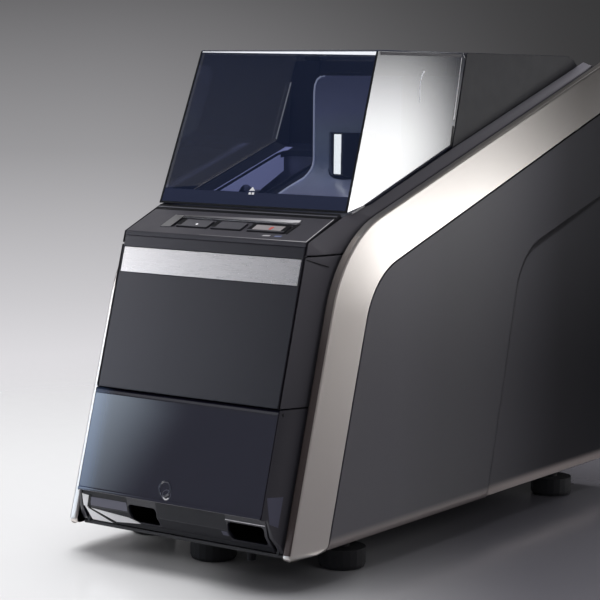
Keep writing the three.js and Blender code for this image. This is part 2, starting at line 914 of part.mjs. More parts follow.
function cheekMoulding() {
  const first = railRun[0];
  const last = railRun[railRun.length - 1];
  const stations = lipEdge.stations(arcSteps, railRun.slice(1, -1)).filter(({ point }) =>
    point.x < last.x && point.y > first.y);
  const near = lipEdge.facing(new THREE.Vector2(faceDepth(sillHeight), sillHeight));
  const far = lipEdge.facing(last);
  const sections = [near, ...stations, far].sort((a, b) => a.at - b.at).map((station) => {
    const out = reachTo(station, railRun);
    const at = (distance) => station.point.clone().addScaledVector(station.normal, distance);
    const top = at(out);
    const inner = railInner(top.x, top.y);
    const section = [
      [out, inner],
      [-cheekSetback, cheekOuterX],
      [-cheekBaseDrop, cheekBaseX],
      [-cheekBaseDrop, chassisInnerX + chassisPlate + fitGap],
      [-cheekFlangeDrop, chassisInnerX + chassisPlate + fitGap],
      [out - cheekSkin, inner],
    ];
    return section.map(([distance, x]) => [x, at(distance).x, at(distance).y]);
  });
  return loft(sections).intersect(box(0, halfWidth, -bandWidth, housingRearDepth, 0, topHeight));
}

const cheek = cheekMoulding();
const lowerCheek = between(cheek, chinFootHeight, doorTopHeight - seamGap);
const middleCheek = between(cheek, doorTopHeight, upperCheekSeamHeight - seamGap);
const shoulder = between(cheek, upperCheekSeamHeight, topHeight);
pair('shoulder', () => shoulder, finish(charcoal, 0.45, 0.2));

// Front frame with its cheeks, front cover and brushed strip
function both(half) {
  return half.add(mirrored(half));
}

const slopeTan = Math.tan(panelSlope);
// Everything above the plane that lies a distance below the control panel's top.
function abovePanel(drop) {
  const reach = drop / Math.cos(panelSlope);
  const low = faceTopHeight - reach - faceDepth(faceTopHeight) * slopeTan;
  const high = low + overallDepth * slopeTan;
  const ceiling = high + overallDepth;
  const outline = [[0, low], [overallDepth, high], [overallDepth, ceiling], [0, ceiling]];
  return prismX(outline, -overallWidth, overallWidth);
}

const frameDepth = coverThickness + fitGap;
const frameSheet = leaning(
  rectangle(-faceHalfWidth - fitGap, faceHalfWidth + fitGap, frameDepth, frameDepth + frameWall),
  doorTopHeight, faceTopHeight + overrun);
const upperJoin = between(leaning(
  rectangle(-faceHalfWidth + coverGap, faceHalfWidth - coverGap, frameDepth, frameDepth + frameWall),
  upperCheekSeamHeight - seamGap, faceTopHeight + overrun), 0, topHeight);
const frameSides = between(frameSheet, doorTopHeight, upperCheekSeamHeight - seamGap);
const frontFrame = both(middleCheek).add(frameSides).add(upperJoin)
  .subtract(abovePanel(panelThickness + fitGap));
piece('front_frame', frontFrame, finish(charcoal, 0.5, 0.2));

const coverHalfWidth = faceHalfWidth - coverGap;
const coverPlan = rounded(rectangle(-coverHalfWidth, coverHalfWidth, 0, coverThickness),
  [coverEdgeRound, coverEdgeRound, 0, 0]);
const stripFootHeight = stripTopHeight - stripHeight;
const stripPocket = leaning(
  rectangle(-coverHalfWidth + stripSetIn - fitGap, coverHalfWidth - stripSetIn + fitGap,
    -overrun, stripThickness + fitGap),
  stripFootHeight - fitGap, stripTopHeight + fitGap);
const frontCover = leaning(coverPlan, doorTopHeight, faceTopHeight + overrun)
  .subtract(abovePanel(panelThickness + fitGap)).subtract(stripPocket);
piece('front_cover', frontCover, finish(darkCharcoal, 0.42, 0.2));
const strip = leaning(
  rectangle(-coverHalfWidth + stripSetIn, coverHalfWidth - stripSetIn, 0, stripThickness),
  stripFootHeight, stripTopHeight);
piece('trim_strip', strip, finish(brushedSilver, 0.35, 1));

// Control panel in its own tilted group: x across, v up the slope, w out of the surface
const panelGroup = new THREE.Group();
panelGroup.position.set(0, faceDepth(faceTopHeight), faceTopHeight);
panelGroup.rotation.x = panelSlope;
machine.add(panelGroup);

const faceTurn = faceLean + panelSlope;
const panelNose = panelThickness * Math.tan(faceTurn);
const panelOutline = [
  [0, 0], [panelLength, 0], [panelLength, -panelThickness], [-panelNose, -panelThickness],
];
const trayOutline = rectangle(trayLeft, trayRight, trayFront, trayBack);
const skirt = box(-coverHalfWidth, coverHalfWidth, frameDepth + frameWall + panelNose, panelLength,
  -panelSkirt, -panelThickness + fitGap).subtract(
  box(-coverHalfWidth + coverThickness, coverHalfWidth - coverThickness, 0, overallDepth, -overallDepth, 0));
const keys = [
  ['key_start', keyLeftStart, keyLeftEnd],
  ['key_mode', keyMiddleStart, keyMiddleEnd],
  ['key_stop', keyRightStart, keyRightEnd],
];

function keyOutline(start, end, spread) {
  return rounded(rectangle(start - spread, end + spread, keyFront - spread, keyBack + spread), keyCorner);
}

let controlPanel = prismX(panelOutline, -coverHalfWidth, coverHalfWidth).add(skirt)
  .subtract(prismZ(trayOutline, -trayDepth, overrun));
keys.forEach(([, start, end]) => {
  const opening = keyOutline(start, end, fitGap);
  controlPanel = controlPanel.subtract(prismZ(opening, -panelThickness - overrun, overrun));
});
piece('control_panel', controlPanel, finish(charcoal, 0.45, 0.2), panelGroup);

const trimInset = fitGap;
const trimOutline = [
  [trayLeft + trimInset, trayFront + trimInset],
  [trayLeft + trimLeftWidth, trayFront + trimInset],
  [trayLeft + trimLeftWidth, trayBack - trimBackWidth],
  [trayRight - trimInset, trayBack - trimBackWidth],
  [trayRight - trimInset, trayBack - trimInset],
  [trayLeft + trimInset, trayBack - trimInset],
];
const trimFoot = -trayDepth + fitGap;
piece('panel_trim', prismZ(trimOutline, trimFoot, trimFoot + trimThickness),
  finish(brushedSilver, 0.3, 1), panelGroup);

keys.forEach(([name, start, end]) => {
  const flangeTop = -panelThickness - fitGap;
  const cap = prismZ(keyOutline(start, end, 0), flangeTop - keyFlange, -trayDepth + keyProud + keyTravel);
  const flange = prismZ(keyOutline(start, end, keyFlangeWidth), flangeTop - keyFlange, flangeTop);
  piece(name, cap.add(flange), finish(charcoal, 0.35, 0.1), panelGroup);
});

// Lower bezel: cheeks, chin and the surround of the accessory compartment
const bezelSheet = leaning(
  rectangle(-faceHalfWidth - cheekSkin, faceHalfWidth + cheekSkin, bezelSetback, bezelSetback + bezelWall),
  doorFootHeight - chinTopDrop - chinWall, doorTopHeight - seamGap);
const binMouth = prismY(rectangle(-binHalfWidth, binHalfWidth, binFoot, binTop), -overrun, overallDepth / 2);
const chinOuter = [[chinTopDepth, doorFootHeight - chinTopDrop], [chinMidDepth, chinMidHeight],
  [chinFootDepth, chinFootHeight]];
const chinInner = chinOuter.map(([y, z]) => [y + chinWall + chinWall / 2, z]);
const chinOutline = [...chinOuter, ...chinInner.reverse()];
const chinReach = faceHalfWidth + fitGap;
const ledgeBack = faceDepth(doorFootHeight) + bezelSetback + bezelWall / 2;
const chinShell = prismX(chinOutline, -chinReach, chinReach).add(
  box(-chinReach, chinReach, chinTopDepth + chinWall / 2, ledgeBack,
    doorFootHeight - chinTopDrop - chinWall, doorFootHeight - chinTopDrop));

function hollowOf(start, end) {
  return prismY(rounded(rectangle(start, end, hollowFoot, hollowFoot + hollowHeight), hollowRound),
    -overrun, bezelSetback + chinMidDepth + bezelWall);
}

const doorAxisHeight = doorTopHeight - seamGap / 2 - doorBeadRadius;
const doorAxisDepth = faceDepth(doorAxisHeight) + doorBeadRadius / Math.cos(faceLean);
const doorHalfWidth = faceHalfWidth - doorSideGap;
const doorPinOuter = faceHalfWidth + doorPinDepthInCheek;
const doorPinInner = doorPinOuter - doorPinReach;

// The space in front of the chin, where the cheeks stop too
const chinFace = chinOuter.map(([y, z]) => [y - fitGap, z]);
const beforeChin = prismX([[-bandWidth, chinFootHeight - overrun], [chinFace[2][0], chinFootHeight - overrun],
  chinFace[2], chinFace[1], chinFace[0], [-bandWidth, chinFace[0][1]]], -overallWidth, overallWidth);
let bezel = both(lowerCheek).subtract(beforeChin).add(bezelSheet.subtract(binMouth)).add(chinShell)
  .subtract(hollowOf(hollowLeftStart, hollowLeftEnd)).subtract(hollowOf(hollowRightStart, hollowRightEnd));
const doorPinHole = rodX(doorAxisDepth, doorAxisHeight, doorPinRadius + fitGap, faceHalfWidth - overrun,
  doorPinOuter + fitGap, smallSteps);
bezel = bezel.subtract(both(doorPinHole));
piece('lower_bezel', bezel, finish(darkCharcoal, 0.5, 0.15));

const binInner = rectangle(
  -binHalfWidth + binWall, binHalfWidth - binWall, binFoot + binWall, binTop - binWall);
const binBack = faceDepth(binFoot) + bezelSetback + bezelWall + fitGap;
const binEnd = binBack + binDepth;
const sheetBehind = (spread) => leaning(
  rectangle(-binHalfWidth - spread, binHalfWidth + spread, bezelSetback + bezelWall + fitGap,
    bezelSetback + bezelWall + fitGap + binWall),
  binFoot - spread, binTop + spread);
const behindBezel = leaning(
  rectangle(-overallWidth, overallWidth, bezelSetback + fitGap, overallDepth), 0, doorTopHeight);
const binOuter = rectangle(
  -binHalfWidth + fitGap, binHalfWidth - fitGap, binFoot + fitGap, binTop - fitGap);
const bin = prismY(binOuter, 0, binEnd).intersect(behindBezel).add(sheetBehind(binFlange))
  .subtract(prismY(binInner, -overrun, binEnd - binWall));
piece('accessory_bin', bin, finish(black, 0.6, 0.1));

// Door with its rolled top edge, side returns, finger mark and lower lip
const doorSheet = leaning(
  rectangle(-doorHalfWidth, doorHalfWidth, 0, doorSkin), doorFootHeight, doorAxisHeight);
const doorReturns = both(leaning(
  rectangle(doorHalfWidth - doorSkin, doorHalfWidth, 0, doorReturnDepth), doorFootHeight,
  doorAxisHeight - doorBeadRadius));
const bead = rodX(doorAxisDepth, doorAxisHeight, doorBeadRadius, -doorHalfWidth, doorHalfWidth, smallSteps)
  .subtract(both(rodX(doorAxisDepth, doorAxisHeight, doorPinRadius + fitGap, doorPinInner - fitGap,
    faceHalfWidth, smallSteps)));
const doorLip = leaning(
  rectangle(-doorHalfWidth, doorHalfWidth, -doorLipReach, doorSkin / 2), doorFootHeight,
  doorFootHeight + doorLipHeight);
const markHeight = doorFootHeight + doorMarkRise;
const markOuter = prismY(
  circle(doorMarkX, markHeight, doorMarkRadius, smallSteps), -overrun, overallDepth / 2);
const markInner = prismY(circle(doorMarkX, markHeight, doorMarkRadius - doorMarkRing, smallSteps),
  -overrun, overallDepth / 2);
const markSheet = leaning(
  rectangle(-doorHalfWidth, doorHalfWidth, -doorMarkProud, doorSkin / 2), doorFootHeight, doorTopHeight);
const door = doorSheet.add(doorReturns).add(bead).add(doorLip)
  .add(markSheet.intersect(markOuter.subtract(markInner)));
piece('door', door, finish(smokedBlue, 0.15, 0));
pair('door_pin', () => rodX(doorAxisDepth, doorAxisHeight, doorPinRadius, doorPinInner, doorPinOuter,
  smallSteps), finish(steel, 0.3, 1));

// Hood with its hinge bead along the top of the rear edge
function tapered(body, shrink = 0) {
  const foot = hoodHalfWidthFoot - shrink;
  const top = hoodHalfWidthTop - shrink;
  return body.warp((v) => {
    const share = (v[2] - hoodFootHeight) / (topHeight - hoodFootHeight);
    v[0] *= THREE.MathUtils.lerp(foot, top, share);
  });
}

// A closed outline with each side moved inwards by its own distance.
function inset(outline, distances) {
  const count = outline.length;
  const sides = outline.map((corner, i) => {
    const a = new THREE.Vector2(...corner);
    const b = new THREE.Vector2(...outline[(i + 1) % count]);
    const along = b.sub(a).normalize();
    const inwards = new THREE.Vector2(-along.y, along.x).multiplyScalar(distances[i]);
    return { at: a.add(inwards), along };
  });
  return sides.map((side, i) => {
    const before = sides[(i + count - 1) % count];
    const gap = side.at.clone().sub(before.at);
    const share = gap.cross(side.along) / before.along.cross(side.along);
    const point = before.at.clone().addScaledVector(before.along, share);
    return [point.x, point.y];
  });
}

const hoodHeel = new THREE.Vector2(hoodHeelDepth, hoodHeelHeight);
const hoodRear = new THREE.Vector2(hoodRearDepth, topHeight);
const rearRun = hoodRear.clone().sub(hoodHeel).normalize();
const rearLean = rearRun.x / rearRun.y;
const hoodAxisHeight = topHeight - hoodBeadRadius;
const hoodAxisDepth = hoodRearDepth - hoodBeadRadius * rearLean - hoodBeadRadius / rearRun.y;
const hoodOutline = [
  [hoodFootDepth, hoodFootHeight],
  [hoodKneeDepth, hoodKneeHeight],
  [hoodHeelDepth, hoodHeelHeight],
  [hoodAxisDepth + hoodBeadRadius * rearRun.y, hoodAxisHeight - hoodBeadRadius * rearRun.x],
  [hoodAxisDepth, topHeight],
  [hoodFrontTopDepth, topHeight],
];
const halfShare = 1;
const hoodSolid = tapered(prismX(hoodOutline, -halfShare, halfShare));
const open = -overrun - hoodSkin;
const hoodHollow = tapered(prismX(
  inset(hoodOutline, [open, open, open, open, hoodSkin, hoodSkin]), -halfShare, halfShare), hoodSkin);
const beadRod = rodX(hoodAxisDepth, hoodAxisHeight, hoodBeadRadius,
  -hoodHalfWidthTop + hoodSkin / 2, hoodHalfWidthTop - hoodSkin / 2, smallSteps);
const knuckleHalf = hoodKnuckleLength / 2;
const notch = box(hoodKnuckleX - knuckleHalf, hoodKnuckleX + knuckleHalf,
  hoodAxisDepth - hoodBeadRadius - looseGap, hoodRearDepth + overrun,
  hoodAxisHeight - hoodBeadRadius - overrun, topHeight + overrun);
const hoodPinLength = hoodKnuckleLength + hoodPinReach + hoodPinReach;
const hoodPinHole = rodX(hoodAxisDepth, hoodAxisHeight, hoodPinRadius + fitGap,
  hoodKnuckleX - hoodPinLength / 2 - fitGap, hoodKnuckleX + hoodPinLength / 2 + fitGap, smallSteps);
const hood = hoodSolid.subtract(hoodHollow).add(beadRod).subtract(both(notch)).subtract(both(hoodPinHole));
piece('hood', hood, finish(smokedBlue, 0.08, 0));

// Housing behind the hood
const housingStep = seamGap / rearRun.y;
const frontAt = (height) => hoodHeel.x + (height - hoodHeel.y) * rearLean + housingStep;
const housingCorners = [
  [frontAt(housingFootHeight), housingFootHeight],
  [housingRearDepth, housingRearFoot],
  [housingRearDepth, topHeight],
  [frontAt(topHeight), topHeight],
];
const housingOutline = rounded(housingCorners, [0, 0, housingRearRadius, housingEdgeRound], 8);
const housingInside = inset(housingCorners, [-overrun, housingWall, housingWall, housingWall]);
const housingHollow = rounded(housingInside, [0, 0, housingRearRadius - housingWall, 0], 8);
const housingPads = [0, 1, 2].map((i) => {
  const share = (i + 1) / 4;
  const depth = THREE.MathUtils.lerp(housingCorners[0][0], housingRearDepth, share);
  const foot = THREE.MathUtils.lerp(housingFootHeight, housingRearFoot, share);
  return box(hoodHalfWidth(foot + housingPadHeight) - housingWall, chassisInnerX - fitGap,
    depth, depth + housingPadLength, foot + overrun, foot + overrun + housingPadHeight);
});
let housing = tapered(prismX(housingOutline, -halfShare, halfShare)).subtract(
  tapered(prismX(housingHollow, -halfShare, halfShare), housingWall));
housingPads.forEach((pad) => {
  housing = housing.add(both(pad));
});
piece('upper_housing', housing, finish(charcoal, 0.48, 0.2));

function hoodBracket() {
  const half = hoodBracketWidth / 2;
  const low = hoodKnuckleX - half;
  const high = hoodKnuckleX + half;
  const plateFront = frontAt(hoodAxisHeight) - seamGap + fitGap;
  const knuckle = rodX(hoodAxisDepth, hoodAxisHeight, hoodBeadRadius, low, high, smallSteps);
  const drop = hoodBeadRadius + hoodBeadRadius;
  const slant = (height) => frontAt(height) - fitGap;
  const web = prismX([
    [hoodAxisDepth, hoodAxisHeight - hoodBeadRadius],
    [slant(hoodAxisHeight - drop - drop), hoodAxisHeight - drop - drop],
    [slant(hoodAxisHeight - hoodBeadRadius), hoodAxisHeight - hoodBeadRadius],
    [hoodAxisDepth + (plateFront - hoodAxisDepth) / 2, hoodAxisHeight],
  ], low, high);
  return knuckle.add(web).subtract(
    rodX(hoodAxisDepth, hoodAxisHeight, hoodPinRadius + fitGap, low - overrun, high + overrun, smallSteps));
}

pair('hood_bracket', hoodBracket, finish(black, 0.6, 0));
pair('hood_pin', () => rodX(hoodAxisDepth, hoodAxisHeight, hoodPinRadius,
  hoodKnuckleX - hoodPinLength / 2, hoodKnuckleX + hoodPinLength / 2, smallSteps), finish(steel, 0.3, 1));

// Deck under the hood, sloping with the shoulders
const deckTan = Math.tan(deckSlope);
const deckAt = (depth) => deckFrontHeight + (depth - deckFrontDepth) * deckTan;
const slab = (front, rear, top, bottom) => [
  [front, deckAt(front) - bottom], [rear, deckAt(rear) - bottom],
  [rear, deckAt(rear) - top], [front, deckAt(front) - top]];
const wellOutline = rectangle(wellLeft, wellRight, wellFront, wellBack);
const wellCut = prismZ(rounded(wellOutline, wellCorner), 0, topHeight);
const wellRing = prismZ(rounded(rectangle(wellLeft - wellRimWidth, wellRight + wellRimWidth,
  wellFront - wellRimWidth, wellBack + wellRimWidth), wellCorner + wellRimWidth), 0, topHeight)
  .intersect(prismX(slab(deckFrontDepth, deckRearDepth, -wellRimHeight, deckThickness / 2),
    -deckHalfWidth, deckHalfWidth));
const rails = both(prismX(
  slab(deckFrontDepth, deckRailRear, deckThickness - fitGap, deckThickness + deckRailHeight),
  deckRailInnerX, deckRailOuterX));
const deck = prismX(slab(deckFrontDepth, deckRearDepth, 0, deckThickness), -deckHalfWidth, deckHalfWidth)
  .add(rails).add(wellRing).subtract(wellCut);
piece('deck', deck, finish(charcoal, 0.4, 0.1));

// Chamber tub with a rounded floor, a flange under the deck and arc-shaped slots for the lens shafts
const tubLid = deckThickness + fitGap;
const tubTopAt = (depth) => deckAt(depth) - tubLid;
function tubProfile(spread) {
  const front = tubFront - spread;
  const back = tubBack + spread;
  const floor = tubFloor - spread;
  return rounded([[front, floor], [back, floor], [back, tubTopAt(back)], [front, tubTopAt(front)]],
    [tubFloorRadius + spread, tubFloorRadius + spread, 0, 0], 6);
}

const flangeFront = tubFront - tubWall - tubFlangeWidth;
const flangeBack = tubBack + tubWall + tubFlangeWidth;
const flange = prismX(slab(flangeFront, flangeBack, tubLid, tubLid + tubFlangeThickness),
  tubLeft - tubWall - tubFlangeWidth, tubRight + tubWall + tubFlangeWidth);
const tubInside = prismX(tubProfile(0), tubLeft, tubRight).add(
  prismX([[tubFront, tubTopAt(tubFront) - overrun], [tubBack, tubTopAt(tubBack) - overrun],
    [tubBack, tubTopAt(tubBack) + overrun], [tubFront, tubTopAt(tubFront) + overrun]], tubLeft, tubRight));
const tubDrainX = (tubLeft + tubRight) / 2;
const tubDrainDepth = (tubFront + tubBack) / 2;
const tubSpigot = rodZ(tubDrainX, tubDrainDepth, tubDrainRadius,
  tubFloor - tubWall - tubDrainLength, tubFloor - tubWall / 2, smallSteps);
const tubSpigotBore = rodZ(tubDrainX, tubDrainDepth, tubDrainRadius - tubWall / 2,
  tubFloor - tubWall - tubDrainLength - overrun, tubFloor + overrun, smallSteps);

const pivot = new THREE.Vector2(carriagePivotDepth, carriagePivotHeight);
const lensAxis = new THREE.Vector2(lensAxisDepth, lensAxisHeight);
const swingRadius = pivot.distanceTo(lensAxis);
const swingStart = Math.atan2(lensAxis.y - pivot.y, lensAxis.x - pivot.x);

function swung(angle, radius) {
  return [pivot.x + radius * Math.cos(swingStart + angle), pivot.y + radius * Math.sin(swingStart + angle)];
}

// A notch, open at the top, that leaves room for a lens shaft through the whole swing.
function shaftNotch(low, high) {
  const half = shaftRadius + slotPlay;
  const [restDepth] = swung(0, swingRadius);
  const [endDepth, endHeight] = swung(carriageSwing, swingRadius);
  return box(low, high, endDepth - half, restDepth + half, endHeight - half, topHeight);
}

const spindleHole = rodX(wheelAxisDepth, wheelAxisHeight, spindleNoseRadius + fitGap,
  tubRight - overrun, tubRight + tubWall + overrun);
const tub = prismX(tubProfile(tubWall), tubLeft - tubWall, tubRight + tubWall).add(flange).add(tubSpigot)
  .subtract(tubInside).subtract(tubSpigotBore).subtract(spindleHole)
  .subtract(shaftNotch(tubLeft - tubFlangeWidth - overrun, tubLeft + overrun))
  .subtract(shaftNotch(tubRight - overrun, tubRight + tubFlangeWidth + overrun));
piece('chamber_tub', tub, finish(steel, 0.45, 0.2));

// Tower cover whose front sweeps down to the deck, and the drum of the tool head in its bay
function towerProfile(spread) {
  const front = towerFrontDepth + spread;
  const base = (depth) => deckAt(depth) + fitGap - spread;
  const sweepTop = base(front) + towerSweepRadius;
  const centre = [front - towerSweepRadius, sweepTop];
  const outline = [[towerRearDepth - spread, base(towerRearDepth)],
    [frontAt(towerTopHeight) - seamGap - fitGap - spread, towerTopHeight - spread],
    [front, towerTopHeight - spread]];
  const steps = 8;
  for (let i = 0; i <= steps; i += 1) {
    const angle = (Math.PI / 2 - deckSlope) * i / steps;
    outline.push([
      centre[0] + towerSweepRadius * Math.cos(angle),
      centre[1] - towerSweepRadius * Math.sin(angle),
    ]);
  }
  const last = outline[outline.length - 1];
  const toe = Math.min(last[0], towerToeDepth + spread);
  outline.push([toe, base(toe) + (towerSkin - spread)]);
  outline.push([toe, base(toe)]);
  return outline;
}

const towerFront = (spread) => prismY(rounded(
  rectangle(towerLeft + spread, towerRight - spread, 0, towerTopHeight - spread),
  [0, 0, 0, towerCorner - spread], 6), 0, overallDepth);
const towerShell = prismX(towerProfile(0), towerLeft - overrun, towerRight + overrun)
  .intersect(towerFront(0));
const towerHollow = prismX(towerProfile(towerSkin), towerLeft - overrun, towerRight + overrun)
  .intersect(towerFront(towerSkin));
const bayRadius = toolHeadRadius + looseGap;
const toolBay = rodZ(toolHeadX, toolHeadDepth, bayRadius, deckFrontHeight, toolHeadTop + looseGap);
piece('tower_cover', towerShell.subtract(towerHollow).subtract(toolBay), finish(charcoal, 0.35, 0.1));
const drumFoot = deckAt(toolHeadDepth + toolHeadRadius) + fitGap;
const drumNeckFoot = deckAt(toolHeadDepth) + fitGap;
const aboveDeck = prismX([[0, deckAt(0) + fitGap], [overallDepth, deckAt(overallDepth) + fitGap],
  [overallDepth, topHeight + overallDepth], [0, topHeight]], 0, halfWidth);
const toolHead = rodZ(toolHeadX, toolHeadDepth, toolHeadRadius, drumFoot + overrun, toolHeadTop)
  .add(rodZ(toolHeadX, toolHeadDepth, toolHeadRadius - toolHeadNeckInset, drumNeckFoot - toolHeadNeck,
    drumFoot + overrun + overrun).intersect(aboveDeck));
piece('tool_head', toolHead, finish(black, 0.25, 0.3));

// Grinding spindle and its wheels
const wheelTurn = (profile) => turnedX(profile, wheelAxisDepth, wheelAxisHeight);
const bore = spindleRadius + fitGap;
function wheel(left, width) {
  return [
    [bore, left],
    [wheelHubRadius, left],
    [wheelHubRadius + wheelHubRecess, left + wheelHubRecess],
    [wheelRadius - wheelHubRecess - wheelHubRecess, left + wheelHubRecess],
    [wheelRadius - wheelHubRecess, left],
    [wheelRadius, left],
    [wheelRadius, left + width],
    [bore, left + width],
    [bore, left],
  ];
}

// A rim with evenly spaced V-shaped grooves between two places.
function grooved(profile, left, width, count) {
  const ridge = width / count;
  const grooves = Array.from({ length: count }, (_, i) => {
    const middle = left + (i + 1 / 2) * ridge;
    return [[wheelRadius, middle - bevelGrooveWidth / 2], [wheelRadius - bevelGrooveDepth, middle],
      [wheelRadius, middle + bevelGrooveWidth / 2]];
  }).flat();
  return [...profile.slice(0, 6), ...grooves, ...profile.slice(6)];
}

const bevelLeft = wheelStackLeft + roughWheelWidth + wheelGap;
const polishLeft = bevelLeft + bevelWheelWidth + wheelGap;
const stackRight = polishLeft + polishWheelWidth;
piece('rough_wheel', wheelTurn(wheel(wheelStackLeft, roughWheelWidth)), finish(abrasive, 0.9, 0.2));
piece('bevel_wheel', wheelTurn(grooved(wheel(bevelLeft, bevelWheelWidth), bevelLeft, bevelWheelWidth, 2)),
  finish(abrasive, 0.8, 0.3));
const polishDisc = wheel(polishLeft, polishWheelWidth);
piece('polish_wheel', wheelTurn(grooved(polishDisc, polishLeft, polishWheelWidth, 1)),
  finish(brushedSilver, 0.6, 0.3));

const spindleNoseLeft = stackRight + wheelGap + spindleFlangeThickness + spindleNoseGap;
const pulleyLeft = spindleBarrelEnd + pulleyGap;
const pulleyRight = pulleyLeft + pulleyWidth;
const nut = prismX(circle(wheelAxisDepth, wheelAxisHeight, spindleNutRadius, 6),
  wheelStackLeft - wheelGap - spindleNutLength, wheelStackLeft - wheelGap);
const spindleFlange = rodX(wheelAxisDepth, wheelAxisHeight, spindleFlangeRadius,
  stackRight + wheelGap, stackRight + wheelGap + spindleFlangeThickness);
const spindle = rodX(wheelAxisDepth, wheelAxisHeight, spindleRadius,
  wheelStackLeft - wheelGap - spindleNutLength - overrun / 2, pulleyRight).add(nut).add(spindleFlange);
piece('wheel_spindle', spindle, finish(steel, 0.3, 1));

const collarLeft = tubRight + tubWall + fitGap;
const barrel = wheelTurn([
  [bore, spindleNoseLeft],
  [spindleNoseRadius, spindleNoseLeft],
  [spindleNoseRadius, collarLeft],
  [spindleCollarRadius, collarLeft],
  [spindleCollarRadius, collarLeft + spindleCollarThickness],
  [spindleBarrelRadius, collarLeft + spindleCollarThickness],
  [spindleBarrelRadius, spindleBarrelEnd],
  [bore, spindleBarrelEnd],
  [bore, spindleNoseLeft],
]);
piece('spindle_housing', barrel, finish(steel, 0.5, 0.8));

function pulley(height, radius, hole) {
  const rim = radius + pulleyRimRise;
  return turnedX([
    [hole, pulleyLeft],
    [rim, pulleyLeft],
    [radius, pulleyLeft + pulleyRim],
    [radius, pulleyRight - pulleyRim],
    [rim, pulleyRight],
    [hole, pulleyRight],
    [hole, pulleyLeft],
  ], wheelAxisDepth, height);
}

piece('spindle_pulley', pulley(wheelAxisHeight, spindlePulleyRadius, bore), finish(steel, 0.4, 0.9));

const motorPulley = pulley(motorHeight, motorPulleyRadius, motorShaftRadius / 2).add(
  rodX(wheelAxisDepth, motorHeight, motorShaftRadius, pulleyRight - motorShaftLength, pulleyRight));
piece('motor_pulley', motorPulley, finish(steel, 0.4, 0.9));

// A closed loop outside two circles on one upright line.
function loop(upper, upperRadius, lower, lowerRadius) {
  const tilt = Math.asin((lowerRadius - upperRadius) / (upper - lower));
  const steps = 14;
  const points = [];
  for (let i = 0; i <= steps; i += 1) {
    const turn = THREE.MathUtils.lerp(-tilt, Math.PI + tilt, i / steps);
    points.push([
      wheelAxisDepth + upperRadius * Math.cos(-turn + Math.PI),
      upper + upperRadius * Math.sin(turn),
    ]);
  }
  for (let i = 0; i <= steps; i += 1) {
    const turn = THREE.MathUtils.lerp(Math.PI + tilt, 2 * Math.PI - tilt, i / steps);
    points.push([
      wheelAxisDepth + lowerRadius * Math.cos(-turn + Math.PI),
      lower + lowerRadius * Math.sin(turn),
    ]);
  }
  return points;
}

const beltLeft = pulleyLeft + (pulleyWidth - beltWidth) / 2;
const beltLoop = (spread) => loop(wheelAxisHeight, spindlePulleyRadius + fitGap + spread,
  motorHeight, motorPulleyRadius + fitGap + spread);
const belt = prismX(beltLoop(beltThickness), beltLeft, beltLeft + beltWidth).subtract(
  prismX(beltLoop(0), beltLeft - overrun, beltLeft + beltWidth + overrun));
piece('drive_belt', belt, finish(black, 0.8, 0));

const motorFootTop = motorHeight - motorRadius / 2;
const motorFoot = box(motorLeft + motorFootMargin, motorRight - motorFootMargin,
  wheelAxisDepth - motorFootWidth / 2, wheelAxisDepth + motorFootWidth / 2,
  basePlateTop + fitGap, motorFootTop);
const motorBody = rodX(wheelAxisDepth, motorHeight, motorRadius, motorLeft, motorRight).add(motorFoot)
  .subtract(rodX(wheelAxisDepth, motorHeight, motorShaftRadius + fitGap,
    pulleyRight - motorShaftLength - fitGap, motorRight + overrun));
piece('drive_motor', motorBody, finish(black, 0.5, 0.5));

// Carriage: two arms on a tube that swings on the pivot shaft
function link(a, radiusA, b, radiusB) {
  const along = b.clone().sub(a);
  const lead = Math.acos((radiusA - radiusB) / along.length());
  const heading = Math.atan2(along.y, along.x);
  const steps = 12;
  const points = [];
  for (let i = 0; i <= steps; i += 1) {
    const turn = heading + THREE.MathUtils.lerp(-lead, lead, i / steps);
    points.push([b.x + radiusB * Math.cos(turn), b.y + radiusB * Math.sin(turn)]);
  }
  for (let i = 0; i <= steps; i += 1) {
    const turn = heading + THREE.MathUtils.lerp(lead, 2 * Math.PI - lead, i / steps);
    points.push([a.x + radiusA * Math.cos(turn), a.y + radiusA * Math.sin(turn)]);
  }
  return points;
}

const armOutline = link(pivot, armHeelRadius, lensAxis, armNoseRadius);
const leftArmRight = tubLeft - tubWall - armGap;
const leftArmLeft = leftArmRight - armThickness;
const rightArmLeft = tubRight + tubWall + armGap;
const rightArmRight = rightArmLeft + armThickness;
const armBore = (low, high) => rodX(
  lensAxis.x, lensAxis.y, shaftRadius + fitGap, low - overrun, high + overrun);
const guideAxis = lensAxis.clone().lerp(pivot, guideSpacing / swingRadius);
const carriage = prismX(armOutline, leftArmLeft, leftArmRight)
  .add(prismX(armOutline, rightArmLeft, rightArmRight))
  .add(rodX(pivot.x, pivot.y, carriageTubeRadius, leftArmLeft, rightArmRight))
  .subtract(rodX(pivot.x, pivot.y, pivotRadius + fitGap, leftArmLeft - overrun, rightArmRight + overrun))
  .subtract(armBore(leftArmLeft, leftArmRight)).subtract(armBore(rightArmLeft, rightArmRight))
  .add(rodX(guideAxis.x, guideAxis.y, guideRadius, rightArmRight - armThickness / 2, guideEnd, smallSteps));
piece('carriage', carriage, finish(steel, 0.5, 0.8));
const pivotHalf = chassisInnerX - fitGap;
piece('pivot_shaft', rodX(pivot.x, pivot.y, pivotRadius, -pivotHalf, pivotHalf), finish(steel, 0.3, 1));

